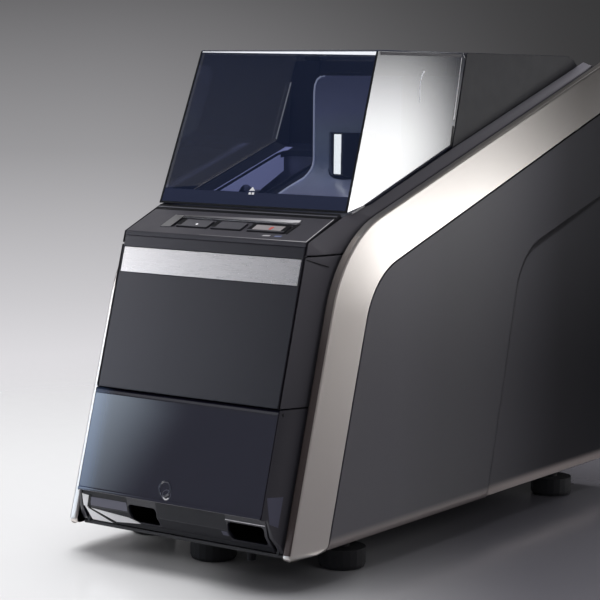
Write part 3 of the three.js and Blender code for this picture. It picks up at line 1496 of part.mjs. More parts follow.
const leftShaftEnd = lensGapLeft - chuckCupLength;
const discRight = leftArmLeft - fitGap;
const chuckLeft = rodX(lensAxis.x, lensAxis.y, shaftRadius, discRight - drivenDiscThickness, leftShaftEnd)
  .add(rodX(lensAxis.x, lensAxis.y, chuckCupRadius, leftShaftEnd - fitGap, lensGapLeft))
  .add(rodX(lensAxis.x, lensAxis.y, drivenDiscRadius, discRight - drivenDiscThickness, discRight))
  .subtract(rodX(lensAxis.x, lensAxis.y, shaftRadius - fitGap - spindleNoseGap, lensGapLeft - overrun,
    lensGapLeft + overrun));
piece('chuck_shaft_left', chuckLeft, finish(steel, 0.3, 1));

const sliderLeft = rightArmRight + looseGap + sliderTravel;
const sliderRight = sliderLeft + sliderThickness;
const padRight = lensGapRight + lensPadLength;
piece('lens_pad', rodX(lensAxis.x, lensAxis.y, lensPadRadius, lensGapRight, padRight), finish(black, 0.9, 0));
const rightShaft = rodX(lensAxis.x, lensAxis.y, shaftRadius, padRight + fitGap, sliderRight)
  .add(rodX(lensAxis.x, lensAxis.y, sliderRadius - guideRadius, sliderRight + fitGap, guideEnd))
  .add(rodX(lensAxis.x, lensAxis.y, shaftRadius - fitGap, sliderRight - fitGap, guideEnd));
piece('chuck_shaft_right', rightShaft, finish(steel, 0.3, 1));
const sliderOutline = link(guideAxis, guideLugRadius, lensAxis, sliderRadius);
const slider = prismX(sliderOutline, sliderLeft, sliderRight)
  .subtract(armBore(sliderLeft, sliderRight))
  .subtract(rodX(guideAxis.x, guideAxis.y, guideRadius + fitGap, sliderLeft - overrun,
    sliderRight + overrun, smallSteps));
piece('clamp_slider', slider, finish(steel, 0.5, 0.8));

// Base plate, chassis sides and feet
const plate = box(-basePlateHalfWidth, basePlateHalfWidth, basePlateFront, basePlateRear,
  basePlateTop - basePlateThickness, basePlateTop);
piece('base_plate', plate, finish(black, 0.6, 0.4));

function bandInnerX(out) {
  const share = out / (bandWidth - bandSkin);
  return THREE.MathUtils.lerp(halfWidth - bandSkin, bandLipOuterX - bandSkin, share);
}

function chassisSide() {
  const edge = lipEdge.offset(-chassisTopDrop);
  const outline = [...edge.outline(arcSteps), [edge.end.x, edge.start.y]];
  const high = chassisInnerX + chassisPlate;
  const rear = housingRearDepth - rearPanelThickness - fitGap;
  let side = prismX(outline, chassisInnerX, high).intersect(
    box(0, halfWidth, 0, rear, basePlateTop + fitGap, topHeight));
  const middle = outerEdge.offset(bandWidth / 2);
  const run = middle.stations(arcSteps);
  const span = run[run.length - 2].at + middle.arcEnd.distanceTo(middle.end);
  const reach = bandInnerX(bandWidth / 2 + standoffRadius) - fitGap;
  standoffBandShares.forEach((share) => {
    const at = alongLine(middle, share * span);
    side = side.add(rodX(at.x, at.y, standoffRadius, chassisInnerX, reach, standoffSteps));
  });
  const panelInner = halfWidth - sidePanelSkin - recessDepth - fitGap;
  standoffPanelShares.forEach(([back, up]) => {
    side = side.add(rodX(back * overallDepth, up * bandRearHeight, standoffRadius, chassisInnerX,
      panelInner, standoffSteps));
  });
  return side.add(rodX(pivot.x, pivot.y, pivotBossRadius, chassisInnerX - pivotBossLength, high))
    .subtract(rodX(pivot.x, pivot.y, pivotRadius + fitGap, chassisInnerX - pivotBossLength - overrun,
      chassisInnerX + fitGap));
}

// The point at a distance along a bent line from its start.
function alongLine(line, distance) {
  const first = line.start.distanceTo(line.arcStart);
  const arc = line.radius * line.turn;
  if (distance < first) {
    return line.start.clone().addScaledVector(line.inward, distance);
  }
  if (distance < first + arc) {
    return line.arcStation((distance - first) / line.radius).point;
  }
  return line.arcEnd.clone().addScaledVector(line.outward, distance - first - arc);
}

pair('chassis_side', chassisSide, finish(black, 0.6, 0.4));

const footTop = basePlateTop - basePlateThickness - fitGap;
const footCorner = rounded([[0, 0], [footRadius, 0], [footRadius, footPuckHeight], [0, footPuckHeight]],
  [0, footEdgeRound, 0, 0], 2);
const footProfile = [
  ...footCorner.slice(0, -1),
  [footNeckRadius, footPuckHeight],
  [footNeckRadius, footTop],
  [0, footTop],
];
const feet = [
  ['foot_front_right', footSpreadX, footFrontDepth],
  ['foot_front_left', -footSpreadX, footFrontDepth],
  ['foot_rear_right', footSpreadX, footRearDepth],
  ['foot_rear_left', -footSpreadX, footRearDepth],
  ['foot_front_centre', 0, footCentreDepth],
];
feet.forEach(([name, x, depth]) => {
  const foot = piece(name, turnedZ(footProfile, 0, 0), finish(black, 0.8, 0));
  foot.position.set(x, depth, 0);
});

// Water nozzle and drain
const nozzleOutlet = nozzleHeight - nozzleDrop;
const nozzleCurve = new THREE.CatmullRomCurve3([
  new THREE.Vector3(nozzleX, tubBack + overrun, nozzleHeight),
  new THREE.Vector3(nozzleX, tubBack - nozzleReach / 2, nozzleHeight),
  new THREE.Vector3(nozzleX, tubBack - nozzleReach, nozzleHeight - nozzleDrop / 2),
  new THREE.Vector3(nozzleX, tubBack - nozzleReach, nozzleOutlet - overrun),
]);

function hose(radius) {
  return oriented(new THREE.ExtrudeGeometry(shapeOf(circle(0, 0, radius, nozzleSides)),
    { steps: nozzleSteps, extrudePath: nozzleCurve }));
}

const nozzleBase = rodY(nozzleX, nozzleHeight, nozzleBaseRadius, tubBack - fitGap - nozzleBaseThickness,
  tubBack + overrun, smallSteps);
const nozzleRoom = box(-halfWidth, halfWidth, 0, tubBack - fitGap, nozzleOutlet, topHeight);
const nozzle = hose(nozzleRadius).add(nozzleBase).subtract(hose(nozzleBore)).intersect(nozzleRoom);
piece('water_nozzle', nozzle, finish(steel, 0.35, 0.9));
const drain = turnedZ([
  [drainBore, drainEnd],
  [drainRadius, drainEnd],
  [drainRadius, footTop - drainFlangeThickness],
  [drainFlangeRadius, footTop - drainFlangeThickness],
  [drainFlangeRadius, footTop],
  [drainBore, footTop],
  [drainBore, drainEnd],
], drainX, drainDepth, smallSteps);
piece('drain_pipe', drain, finish(black, 0.6, 0));

// Rear panel with vents, fan grille and the opening for the inlet
const panelFace = housingRearDepth;
const panelBack = panelFace - rearPanelThickness;
const rearOutline = [
  [-rearPanelHalfWidth, basePlateTop + fitGap], [rearPanelHalfWidth, basePlateTop + fitGap],
  [rearPanelHalfWidth, rearPanelTop], [-rearPanelHalfWidth, rearPanelTop],
];
const throughPanel = (outline) => prismY(outline, panelBack - overrun, panelFace + overrun);
let rearPanel = prismY(rearOutline, panelBack, panelFace);
for (let i = 0; i < ventCount; i += 1) {
  const foot = ventFoot + i * ventPitch;
  rearPanel = rearPanel.subtract(throughPanel(rounded(
    rectangle(ventX - ventWidth / 2, ventX + ventWidth / 2, foot, foot + ventHeight), ventHeight / 3, 1)));
}
const ringStep = (fanBore - fanHubRadius) / fanGrilleRings;
for (let i = 0; i < fanGrilleRings; i += 1) {
  const inner = fanHubRadius + i * ringStep;
  const gap = throughPanel(circle(fanX, fanHeight, inner + ringStep - fanGrilleBar, roundSteps))
    .subtract(throughPanel(circle(fanX, fanHeight, inner, roundSteps)))
    .subtract(throughPanel(rectangle(fanX - fanGrilleBar / 2, fanX + fanGrilleBar / 2,
      fanHeight - fanBore, fanHeight + fanBore)))
    .subtract(throughPanel(rectangle(fanX - fanBore, fanX + fanBore,
      fanHeight - fanGrilleBar / 2, fanHeight + fanGrilleBar / 2)));
  rearPanel = rearPanel.subtract(gap);
}
const moduleLeft = inletX - inletWidth / 2;
const moduleRight = switchX + switchWidth / 2;
const moduleLow = inletHeight - switchTall / 2;
const moduleHigh = inletHeight + switchTall / 2;
const moduleOutline = (spread) => rounded(
  rectangle(moduleLeft - spread, moduleRight + spread, moduleLow - spread, moduleHigh + spread), inletCorner);
rearPanel = rearPanel.subtract(throughPanel(moduleOutline(fitGap)));
piece('rear_panel', rearPanel, finish(charcoal, 0.6, 0.5));

// Inlet and switch housing in one flanged module
const inletFace = panelFace + fitGap + inletFlangeThickness;
const inletMouth = rounded(rectangle(inletX - inletWidth / 2 + inletWall, inletX + inletWidth / 2 - inletWall,
  inletHeight - inletTall / 2 + inletWall, inletHeight + inletTall / 2 - inletWall), inletCorner / 2);
const switchMouth = rectangle(switchX - switchWidth / 2 + switchWall, switchX + switchWidth / 2 - switchWall,
  inletHeight - switchTall / 2 + switchWall, inletHeight + switchTall / 2 - switchWall);
const rockerAxis = inletFace - switchWall;
let inlet = prismY(moduleOutline(0), inletFace - inletDepth, inletFace)
  .add(prismY(moduleOutline(inletFlange), panelFace + fitGap, inletFace))
  .subtract(prismY(inletMouth, inletFace - inletRecess, inletFace + overrun))
  .subtract(prismY(switchMouth, inletFace - switchDepth, inletFace + overrun));
[-1, 0, 1].forEach((i) => {
  const middle = inletX + i * inletPinPitch;
  inlet = inlet.add(box(middle - inletPinThickness / 2, middle + inletPinThickness / 2,
    inletFace - inletRecess - inletWall / 2, inletFace - inletRecess + inletPinLength,
    inletHeight - inletPinWidth / 2, inletHeight + inletPinWidth / 2));
});
const rockerHalf = switchWidth / 2 - switchWall - looseGap;
const trunnion = (radius, spread) => rodX(rockerAxis - switchWall, inletHeight, radius,
  switchX - rockerHalf - switchWall - spread, switchX + rockerHalf + switchWall + spread, smallSteps);
inlet = inlet.subtract(trunnion(rockerPinRadius + fitGap, fitGap));
piece('power_inlet', inlet, finish(black, 0.5, 0));

const rockerTall = switchTall / 2 - switchWall - looseGap - looseGap;
const rockerPoints = [[rockerProud, -rockerTall], [rockerProud / 2, 0], [rockerProud, rockerTall],
  [-rockerBody, rockerTall / 2], [-rockerBody, -rockerTall / 2]].map(([y, z]) => {
  const point = new THREE.Vector2(y, z).rotateAround(new THREE.Vector2(), -rockerTilt);
  return [point.x + rockerAxis - switchWall, point.y + inletHeight];
});
piece('power_switch', prismX(rockerPoints, switchX - rockerHalf, switchX + rockerHalf).add(
  trunnion(rockerPinRadius, 0)), finish(black, 0.4, 0));

// Cooling fan inside the rear panel
const fanBack = panelBack - fitGap;
const fanFront = fanBack - fanDepth;
const fanHalf = fanSize / 2;
const fanSpoke = (reach, rise) => prismY(
  rectangle(fanX - reach, fanX + reach, fanHeight - rise, fanHeight + rise),
  fanBack - fanSpokeThickness, fanBack);
const spokeHalf = fanSpokeWidth / 2;
const fanFrame = prismY(rounded(rectangle(fanX - fanHalf, fanX + fanHalf, fanHeight - fanHalf,
  fanHeight + fanHalf), inletCorner), fanFront, fanBack)
  .subtract(rodY(fanX, fanHeight, fanBore, fanFront - overrun, fanBack + overrun))
  .add(fanSpoke(fanBore + spokeHalf, spokeHalf))
  .add(fanSpoke(spokeHalf, fanBore + spokeHalf))
  .add(rodY(fanX, fanHeight, fanHubRadius, fanBack - fanSpokeThickness, fanBack, smallSteps))
  .add(rodY(fanX, fanHeight, fanPinRadius, fanFront + fanBladeGap, fanBack, smallSteps));
piece('fan_frame', fanFrame, finish(black, 0.6, 0));

const rotorBack = fanBack - fanSpokeThickness - looseGap;
let blades = null;
for (let i = 0; i < fanBladeCount; i += 1) {
  const blade = new THREE.BoxGeometry(fanBore + fanBore, fanDepth + fanDepth, fanBladeThickness);
  blade.translate(fanBore, 0, 0);
  blade.rotateX(fanBladePitch);
  blade.rotateY(2 * Math.PI * i / fanBladeCount);
  blade.translate(fanX, (fanFront + rotorBack) / 2, fanHeight);
  blades = blades ? blades.add(solid(blade)) : solid(blade);
}
const sweptRing = rodY(
  fanX, fanHeight, fanBore - fanBladeGap, fanFront + fanBladeGap, rotorBack - fanBladeGap);
const rotor = blades.intersect(sweptRing)
  .add(rodY(fanX, fanHeight, fanHubRadius, fanFront, rotorBack, smallSteps))
  .subtract(rodY(fanX, fanHeight, fanPinRadius + fitGap,
    fanFront + fanBladeGap - looseGap, rotorBack + overrun, smallSteps));
piece('fan_rotor', rotor, finish(black, 0.5, 0));

export default edger;
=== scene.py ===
"""Automatic lens edger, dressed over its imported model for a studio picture.

Every size is in metres. +X is to the machine's right, +Y towards its back and +Z up, and
the origin is under the middle of the feet.
"""

import json
import logging
import math
from dataclasses import dataclass, field
from enum import Enum
from typing import Callable, Iterable, Sequence

import bmesh
import bpy
from mathutils import Matrix, Vector


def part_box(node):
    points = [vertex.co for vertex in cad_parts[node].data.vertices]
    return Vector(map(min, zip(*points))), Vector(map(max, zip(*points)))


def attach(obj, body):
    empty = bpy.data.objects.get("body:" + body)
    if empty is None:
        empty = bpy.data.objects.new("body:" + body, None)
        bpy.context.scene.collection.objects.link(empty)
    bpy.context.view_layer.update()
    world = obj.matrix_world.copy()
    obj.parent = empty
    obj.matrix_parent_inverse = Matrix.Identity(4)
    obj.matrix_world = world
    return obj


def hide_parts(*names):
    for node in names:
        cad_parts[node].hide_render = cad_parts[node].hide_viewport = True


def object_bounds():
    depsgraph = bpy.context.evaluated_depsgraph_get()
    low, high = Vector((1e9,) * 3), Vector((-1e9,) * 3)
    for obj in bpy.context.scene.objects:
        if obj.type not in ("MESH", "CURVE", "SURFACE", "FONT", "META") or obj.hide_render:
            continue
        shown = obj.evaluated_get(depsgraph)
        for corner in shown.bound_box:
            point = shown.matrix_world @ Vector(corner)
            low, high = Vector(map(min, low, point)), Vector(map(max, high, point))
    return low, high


LOG = logging.getLogger("edger")
Colour = tuple[float, float, float]
Point = tuple[float, float, float]
Plan = tuple[float, float]
Outline = tuple[Plan, ...]

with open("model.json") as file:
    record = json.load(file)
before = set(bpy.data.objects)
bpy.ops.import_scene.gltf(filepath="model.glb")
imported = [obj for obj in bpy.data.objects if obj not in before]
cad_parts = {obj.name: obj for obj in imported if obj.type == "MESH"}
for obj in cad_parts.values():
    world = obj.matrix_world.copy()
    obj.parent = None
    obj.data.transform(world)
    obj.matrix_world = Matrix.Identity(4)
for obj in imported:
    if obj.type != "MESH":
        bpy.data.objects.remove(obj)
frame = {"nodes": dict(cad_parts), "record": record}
CAD_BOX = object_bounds()
FRONT = CAD_BOX[0].y
SIDES = (("left", -1), ("right", 1))
THIN = 0.0002

# Points this close are one. Faces within the first angle are joined, edges over the second
# are rounded, and edges over the third stay sharp.
WELD = 1e-6
JOINED, ROUNDED, CREASED = (math.radians(angle) for angle in (0.4, 28.0, 40.0))


def depth(value: float) -> float:
    """Returns the Y of a depth counted back from the front of the door."""
    return FRONT + value


def turns(count: int) -> list[float]:
    """Returns the angles of equal steps round a full turn."""
    return [2 * math.pi * k / count for k in range(count)]


def around(centre: Plan, radius: float, angles: Iterable[float]) -> Outline:
    """Returns the points at some angles round a centre."""
    x, y = centre
    return tuple((x + radius * math.cos(t), y + radius * math.sin(t)) for t in angles)


def boxed(left: float, low: float, right: float, high: float) -> Outline:
    """Returns the corners of an upright rectangle."""
    return ((left, low), (right, low), (right, high), (left, high))


def shade(colour: Colour, share: float) -> Colour:
    """Returns a colour times a number."""
    return tuple(c * share for c in colour)


class Slot(Enum):
    """The record's material slots."""

    CHARCOAL = "charcoal_cover"
    DARK = "dark_cover"
    BAND = "satin_band"
    BRUSHED = "brushed_trim"
    GLAZING = "smoked_glazing"
    KEYS = "key_plastic"
    BLACK = "black_plastic"
    DRUM = "gloss_drum"
    RUBBER = "foot_rubber"
    CHASSIS = "chassis_paint"
    REAR = "rear_paint"
    STEEL = "machined_steel"
    CASTING = "cast_alloy"
    GRIT = "grinding_grit"


class Grid(Enum):
    """The two world axes that a drawing on a face is given along."""

    TOP = (0, 1)
    FRONT = (0, 2)
    SIDE = (1, 2)


class Grain(Enum):
    """How far a pattern is stretched along each axis."""

    EVEN = (1.0, 1.0, 1.0)
    ALONG_X = (0.02, 1.0, 1.0)


# Shader graphs


class Signal:
    """A number socket of a shader graph that takes part in arithmetic."""

    def __init__(self, graph: "Graph", socket: bpy.types.NodeSocket) -> None:
        """Wraps a socket of a graph."""
        self.graph = graph
        self.socket = socket

    def _maths(self, operation: str, *values: "float | Signal") -> "Signal":
        """Adds a Math node.

        Args:
            operation: The node's operation.
            *values: The numbers or signals of its inputs.

        Returns:
            The node's result.
        """
        inputs = dict(enumerate(values))
        node = self.graph.node("ShaderNodeMath", {"operation": operation}, inputs)
        return Signal(self.graph, node.outputs[0])

    def __add__(self, other: "float | Signal") -> "Signal":
        """Returns the sum."""
        return self._maths("ADD", self, other)

    __radd__ = __add__

    def __sub__(self, other: "float | Signal") -> "Signal":
        """Returns the difference."""
        return self._maths("SUBTRACT", self, other)

    def __rsub__(self, other: float) -> "Signal":
        """Returns a number less this signal."""
        return self._maths("SUBTRACT", other, self)

    def __mul__(self, other: "float | Signal") -> "Signal":
        """Returns the product."""
        return self._maths("MULTIPLY", self, other)

    __rmul__ = __mul__

    def __truediv__(self, other: "float | Signal") -> "Signal":
        """Returns the quotient."""
        return self._maths("DIVIDE", self, other)

    def __rtruediv__(self, other: float) -> "Signal":
        """Returns a number over this signal."""
        return self._maths("DIVIDE", other, self)

    def __pow__(self, power: float) -> "Signal":
        """Returns the power."""
        return self._maths("POWER", self, power)

    def __abs__(self) -> "Signal":
        """Returns the size without its sign."""
        return self._maths("ABSOLUTE", self)

    def step(self, low: float, high: float) -> "Signal":
        """Rises smoothly from 0 at low to 1 at high.

        Args:
            low: Where the rise starts.
            high: Where it ends; below low for a falling signal.

        Returns:
            A signal from 0 to 1.
        """
        down = high < low
        node = self.graph.node(
            "ShaderNodeMapRange",
            {"interpolation_type": "SMOOTHSTEP"},
            {"Value": self, "From Min": min(low, high), "From Max": max(low, high)},
        )
        risen = Signal(self.graph, node.outputs["Result"])
        return 1 - risen if down else risen


class Graph:
    """A material or world that is put together node by node."""

    def __init__(self, tree: bpy.types.NodeTree, output: str) -> None:
        """Empties a node tree and gives it an output node of a type."""
        self.tree = tree
        self.tree.nodes.clear()
        self.output = self.node(output)

    def node(
        self,
        kind: str,
        settings: dict[str, object] | None = None,
        inputs: "dict[int | str, object] | None" = None,
    ) -> bpy.types.Node:
        """Adds a node.

        Args:
            kind: The node's type name.
            settings: Its own settings, set first; a ramp's stops are given as "stops".
            inputs: Values or links by socket name or number.

        Returns:
            The node.
        """
        node = self.tree.nodes.new(kind)
        for key, value in (settings or {}).items():
            if key == "stops":
                self._ramp(node, value)
            else:
                setattr(node, key, value)
        for key, value in (inputs or {}).items():
            socket = node.inputs[key]
            if isinstance(value, Signal):
                self.tree.links.new(value.socket, socket)
            elif isinstance(value, bpy.types.NodeSocket):
                self.tree.links.new(value, socket)
            elif isinstance(value, tuple) and len(value) == 3 and socket.type == "RGBA":
                socket.default_value = (*value, 1.0)
            else:
                socket.default_value = value
        return node

    @staticmethod
    def _ramp(node: bpy.types.Node, stops: Sequence[tuple[float, Colour]]) -> None:
        """Sets the stops of a colour ramp."""
        elements = node.color_ramp.elements
        while len(elements) > 1:
            elements.remove(elements[-1])
        for i, (place, colour) in enumerate(stops):
            element = elements[0] if i == 0 else elements.new(place)
            element.position = place
            element.color = (*colour, 1.0)

    def place(self, axis: str) -> Signal:
        """Returns the object coordinate along one axis, in metres."""
        split = self.node("ShaderNodeSeparateXYZ", None, {0: self.coordinates()})
        return Signal(self, split.outputs[axis])

    def coordinates(self, grain: Grain = Grain.EVEN) -> bpy.types.NodeSocket:
        """Returns the object coordinates, stretched along a grain."""
        found = self.node("ShaderNodeTexCoord").outputs["Object"]
        if grain is Grain.EVEN:
            return found
        node = self.node("ShaderNodeMapping", None, {"Vector": found, "Scale": grain.value})
        return node.outputs[0]

    def clamp(self, value: Signal) -> Signal:
        """Returns a signal kept between 0 and 1."""
        return Signal(self, self.node("ShaderNodeClamp", None, {0: value}).outputs[0])

    def noise(self, scale: float, detail: float = 2.0, grain: Grain = Grain.EVEN) -> Signal:
        """Returns a noise from 0 to 1.

        Args:
            scale: Waves per metre.
            detail: Number of finer layers.
            grain: How it is stretched.

        Returns:
            The noise.
        """
        inputs = {"Vector": self.coordinates(grain), "Scale": scale, "Detail": detail}
        return Signal(self, self.node("ShaderNodeTexNoise", None, inputs).outputs[0])

    def cells(self, scale: float) -> Signal:
        """Returns the distance to the nearest of many scattered points."""
        inputs = {"Vector": self.coordinates(), "Scale": scale}
        return Signal(self, self.node("ShaderNodeTexVoronoi", None, inputs).outputs["Distance"])

    def mix(self, factor: "float | Signal", first: object, second: object) -> bpy.types.NodeSocket:
        """Returns a blend of two colours."""
        inputs = {0: factor, 6: first, 7: second}
        return self.node("ShaderNodeMix", {"data_type": "RGBA"}, inputs).outputs[2]

    def bump(self, height: Signal, depth: float, strength: float = 1.0) -> bpy.types.NodeSocket:
        """Returns a normal that follows a height.

        Args:
            height: The height, from 0 to 1.
            depth: What a height of 1 is, in metres.
            strength: How much of it shows.

        Returns:
            The normal.
        """
        inputs = {"Strength": strength, "Distance": depth, "Height": height}
        return self.node("ShaderNodeBump", None, inputs).outputs[0]

    def show(self, shader: bpy.types.Node) -> None:
        """Links a shader to the output."""
        self.tree.links.new(shader.outputs[0], self.output.inputs["Surface"])


def new_material(name: str) -> tuple[bpy.types.Material, Graph]:
    """Returns a new material with its empty graph."""
    material = bpy.data.materials.new(name)
    material.use_nodes = True
    return material, Graph(material.node_tree, "ShaderNodeOutputMaterial")


# Finishes


@dataclass(frozen=True)
class Finish:
    """Look of one material; each kind gives its shader other inputs."""

    name: str

    def inputs(self, graph: Graph) -> dict[str, object]:
        """Returns the shader's inputs by name."""
        raise NotImplementedError

    def build(self) -> bpy.types.Material:
        """Returns the material."""
        material, graph = new_material(self.name)
        graph.show(graph.node("ShaderNodeBsdfPrincipled", None, self.inputs(graph)))
        return material


@dataclass(frozen=True)
class Moulded(Finish):
    """Painted or moulded cover with a fine leathery grain and slight mottling."""

    colour: Colour
    roughness: float = 0.46
    metallic: float = 0.0
    grain: float = 2600.0
    depth: float = 0.00006
    mottle: float = 0.12
    coat: float = 0.0
    # Emission of the tone: painted light on parts that are no lamp.
    glow: float = 0.0

    def inputs(self, graph: Graph) -> dict[str, object]:
        """Returns the shader's inputs by name."""
        cloud = graph.noise(9.0, 4.0)
        fine = graph.noise(self.grain, 3.0)
        scuff = graph.noise(60.0, 6.0)
        pale = tuple(min(1.0, c) for c in shade(self.colour, 1 + self.mottle))
        tone = graph.mix(cloud * 0.7 + fine * 0.3, shade(self.colour, 1 - self.mottle), pale)
        return {
            "Base Color": tone,
            "Roughness": (scuff - 0.5) * 0.12 + fine * 0.05 + self.roughness,
            "Metallic": self.metallic,
            "Coat Weight": self.coat,
            "Coat Roughness": 0.25,
            "Emission Color": tone,
            "Emission Strength": self.glow,
            "Normal": graph.bump(fine, self.depth, 0.35),
        }


@dataclass(frozen=True)
class Graded(Finish):
    """Moulded cover whose tone runs along one axis, as painted light and shade."""

    axis: str
    start: float
    end: float
    stops: tuple[tuple[float, Colour], ...]
    roughness: float = 0.42
    metallic: float = 0.0
    # A painted reflection of the floor: full below the first height, gone above the second.
    foot: Plan = (0.0, 0.0)
    foot_reflection_colour: Colour = (0.34, 0.295, 0.285)
    foot_reflection_share: float = 0.8
    metal_range: Plan = (0.35, 0.85)
    metal_end: float = 0.0

    def inputs(self, graph: Graph) -> dict[str, object]:
        """Returns the shader's inputs by name."""
        cloud = graph.noise(9.0, 4.0)
        fine = graph.noise(2600.0, 3.0)
        place = (graph.place(self.axis) - self.start) / (self.end - self.start)
        ramp = graph.node("ShaderNodeValToRGB", {"stops": self.stops}, {0: place})
        tone = graph.mix(cloud * 0.12 + fine * 0.06, ramp.outputs[0], (0.0, 0.0, 0.0))
        # Painted reflection of the floor along the foot.
        if self.foot[1]:
            low = graph.place("Z").step(*self.foot[::-1])
            tone = graph.mix(low * self.foot_reflection_share, tone, self.foot_reflection_colour)
        return {
            "Base Color": tone,
            "Roughness": fine * 0.06 + (self.roughness - 0.03),
            "Metallic": place.step(*self.metal_range) * self.metal_end + self.metallic,
            "Normal": graph.bump(fine, 0.00005, 0.3),
        }


@dataclass(frozen=True)
class SatinPaint(Finish):
    """Satin silver lacquer with fine flakes and painted shade towards the back."""

    colour: Colour
    roughness: float = 0.3
    metallic: float = 0.85
    warmth: Colour = (0.97, 0.94, 0.91)
    # Painted shade: the band darkens between these two depths.
    fade: Plan = (0.36, 0.66)
    rear_shade_colour: Colour = (0.03, 0.028, 0.03)
    rear_shade_share: float = 0.7

    def inputs(self, graph: Graph) -> dict[str, object]:
        """Returns the shader's inputs by name."""
        flake = graph.cells(5200.0)
        cloud = graph.noise(6.0, 3.0)
        warm = tuple(c * f for c, f in zip(self.colour, self.warmth))
        tone = graph.mix(cloud * 0.6 + flake * 0.4, warm, self.colour)
        # Painted shade towards the back.
        back = graph.place("Y").step(*map(depth, self.fade)) * self.rear_shade_share
        return {
            "Base Color": graph.mix(back, tone, self.rear_shade_colour),
            "Roughness": flake * 0.1 + cloud * 0.05 + (self.roughness - 0.06),
            "Metallic": self.metallic,
            "Coat Weight": 0.25,
            "Coat Roughness": 0.12,
            "Normal": graph.bump(flake, 0.00002, 0.25),
        }


@dataclass(frozen=True)
class Brushed(Finish):
    """Metal with long fine brush marks."""

    colour: Colour
    grain: Grain = Grain.ALONG_X
    roughness: float = 0.3
    marks: float = 4200.0

    def inputs(self, graph: Graph) -> dict[str, object]:
        """Returns the shader's inputs by name."""
        marks = graph.noise(self.marks, 3.0, self.grain)
        broad = graph.noise(self.marks / 7, 2.0, self.grain)
        return {
            "Base Color": graph.mix(
                marks * 0.6 + broad * 0.4, shade(self.colour, 0.8), self.colour
            ),
            "Roughness": (marks - 0.5) * 0.22 + self.roughness,
            "Metallic": 1.0,
            "Normal": graph.bump(marks, 0.00003, 0.4),
        }


@dataclass(frozen=True)
class Turned(Finish):
    """Machined or cast metal with a fine surface."""

    colour: Colour
    roughness: float = 0.28
    grain: float = 1500.0
    depth: float = 0.00003

    def inputs(self, graph: Graph) -> dict[str, object]:
        """Returns the shader's inputs by name."""
        fine = graph.noise(self.grain, 4.0)
        cloud = graph.noise(25.0, 4.0)
        dull = shade(self.colour, 0.72)
        return {
            "Base Color": graph.mix(cloud * 0.7 + fine * 0.3, dull, self.colour),
            "Roughness": (cloud - 0.5) * 0.2 + fine * 0.08 + self.roughness,
            "Metallic": 1.0,
            "Normal": graph.bump(fine, self.depth, 0.5),
        }


@dataclass(frozen=True)
class Grit(Finish):
    """Bonded abrasive: dark grains with bright specks."""

    colour: Colour
    scale: float = 2400.0

    def inputs(self, graph: Graph) -> dict[str, object]:
        """Returns the shader's inputs by name."""
        grains = graph.cells(self.scale)
        cloud = graph.noise(40.0, 3.0)
        tone = graph.mix(grains.step(0.1, 0.6), self.colour, shade(self.colour, 0.45))
        return {
            "Base Color": tone,
            "Roughness": cloud * 0.15 + 0.62,
            "Metallic": grains.step(0.22, 0.08) * 0.7,
            "Normal": graph.bump(grains, 0.00015, 0.7),
        }


@dataclass(frozen=True)
class Smoked(Finish):
    """Smoked acrylic: dark, glossy, and partly clear."""

    colour: Colour
    clear: float
    border: Colour
    index: float = 1.7
    side_clear: float | None = None
    side: float = 0.1245
    side_lean: float = 0.05
    side_height: float = 0.49
    side_blend: float = 0.001
    seal_height: float = 0.0
    seal_blend: float = 0.0006
    # Painted light near one edge along X, in the border colour.
    glow: float = 0.0
    glow_edge: float = 0.0
    glow_reach: float = 0.03

    def inputs(self, graph: Graph) -> dict[str, object]:
        """Returns the shader's inputs by name."""
        cloud = graph.noise(5.0, 2.0)
        fine = graph.noise(900.0, 2.0)
        tone = graph.mix(cloud, shade(self.colour, 0.86), self.colour)
        alpha: Signal = cloud * 0.02 + (1 - self.clear)
        if self.side_clear is not None:
            reach = abs(graph.place("X")) + (graph.place("Z") - self.side_height) * self.side_lean
            pane = reach.step(self.side - self.side_blend, self.side)
            alpha = alpha + pane * (self.clear - self.side_clear)
        if self.seal_height:
            above, below = self.seal_height + self.seal_blend, self.seal_height - self.seal_blend
            seal = graph.place("Z").step(above, below)
            tone = graph.mix(seal, tone, self.border)
            alpha = graph.clamp(alpha + seal * self.clear)
        # Painted light: the tone turns to the border colour near the edge.
        if self.glow:
            side = graph.place("X").step(self.glow_edge + self.glow_reach, self.glow_edge)
            tone = graph.mix(side * self.glow, tone, self.border)
        return {
            "Base Color": tone,
            "Roughness": fine * 0.02 + 0.035,
            "Alpha": alpha,
            "Coat Weight": 1.0,
            "Coat Roughness": 0.02,
            "IOR": self.index,
            "Specular IOR Level": 0.8,
        }


@dataclass(frozen=True)
class Rubber(Finish):
    """Matt rubber with a dusty grain."""

    colour: Colour = (0.012, 0.012, 0.014)

    def inputs(self, graph: Graph) -> dict[str, object]:
        """Returns the shader's inputs by name."""
        fine = graph.noise(1800.0, 4.0)
        dust = graph.noise(30.0, 5.0).step(0.45, 0.8)
        pale = tuple(c + 0.02 for c in self.colour)
        return {
            "Base Color": graph.mix(dust * 0.6, self.colour, pale),
            "Roughness": fine * 0.1 + 0.68,
            "Normal": graph.bump(fine, 0.00008, 0.5),
        }


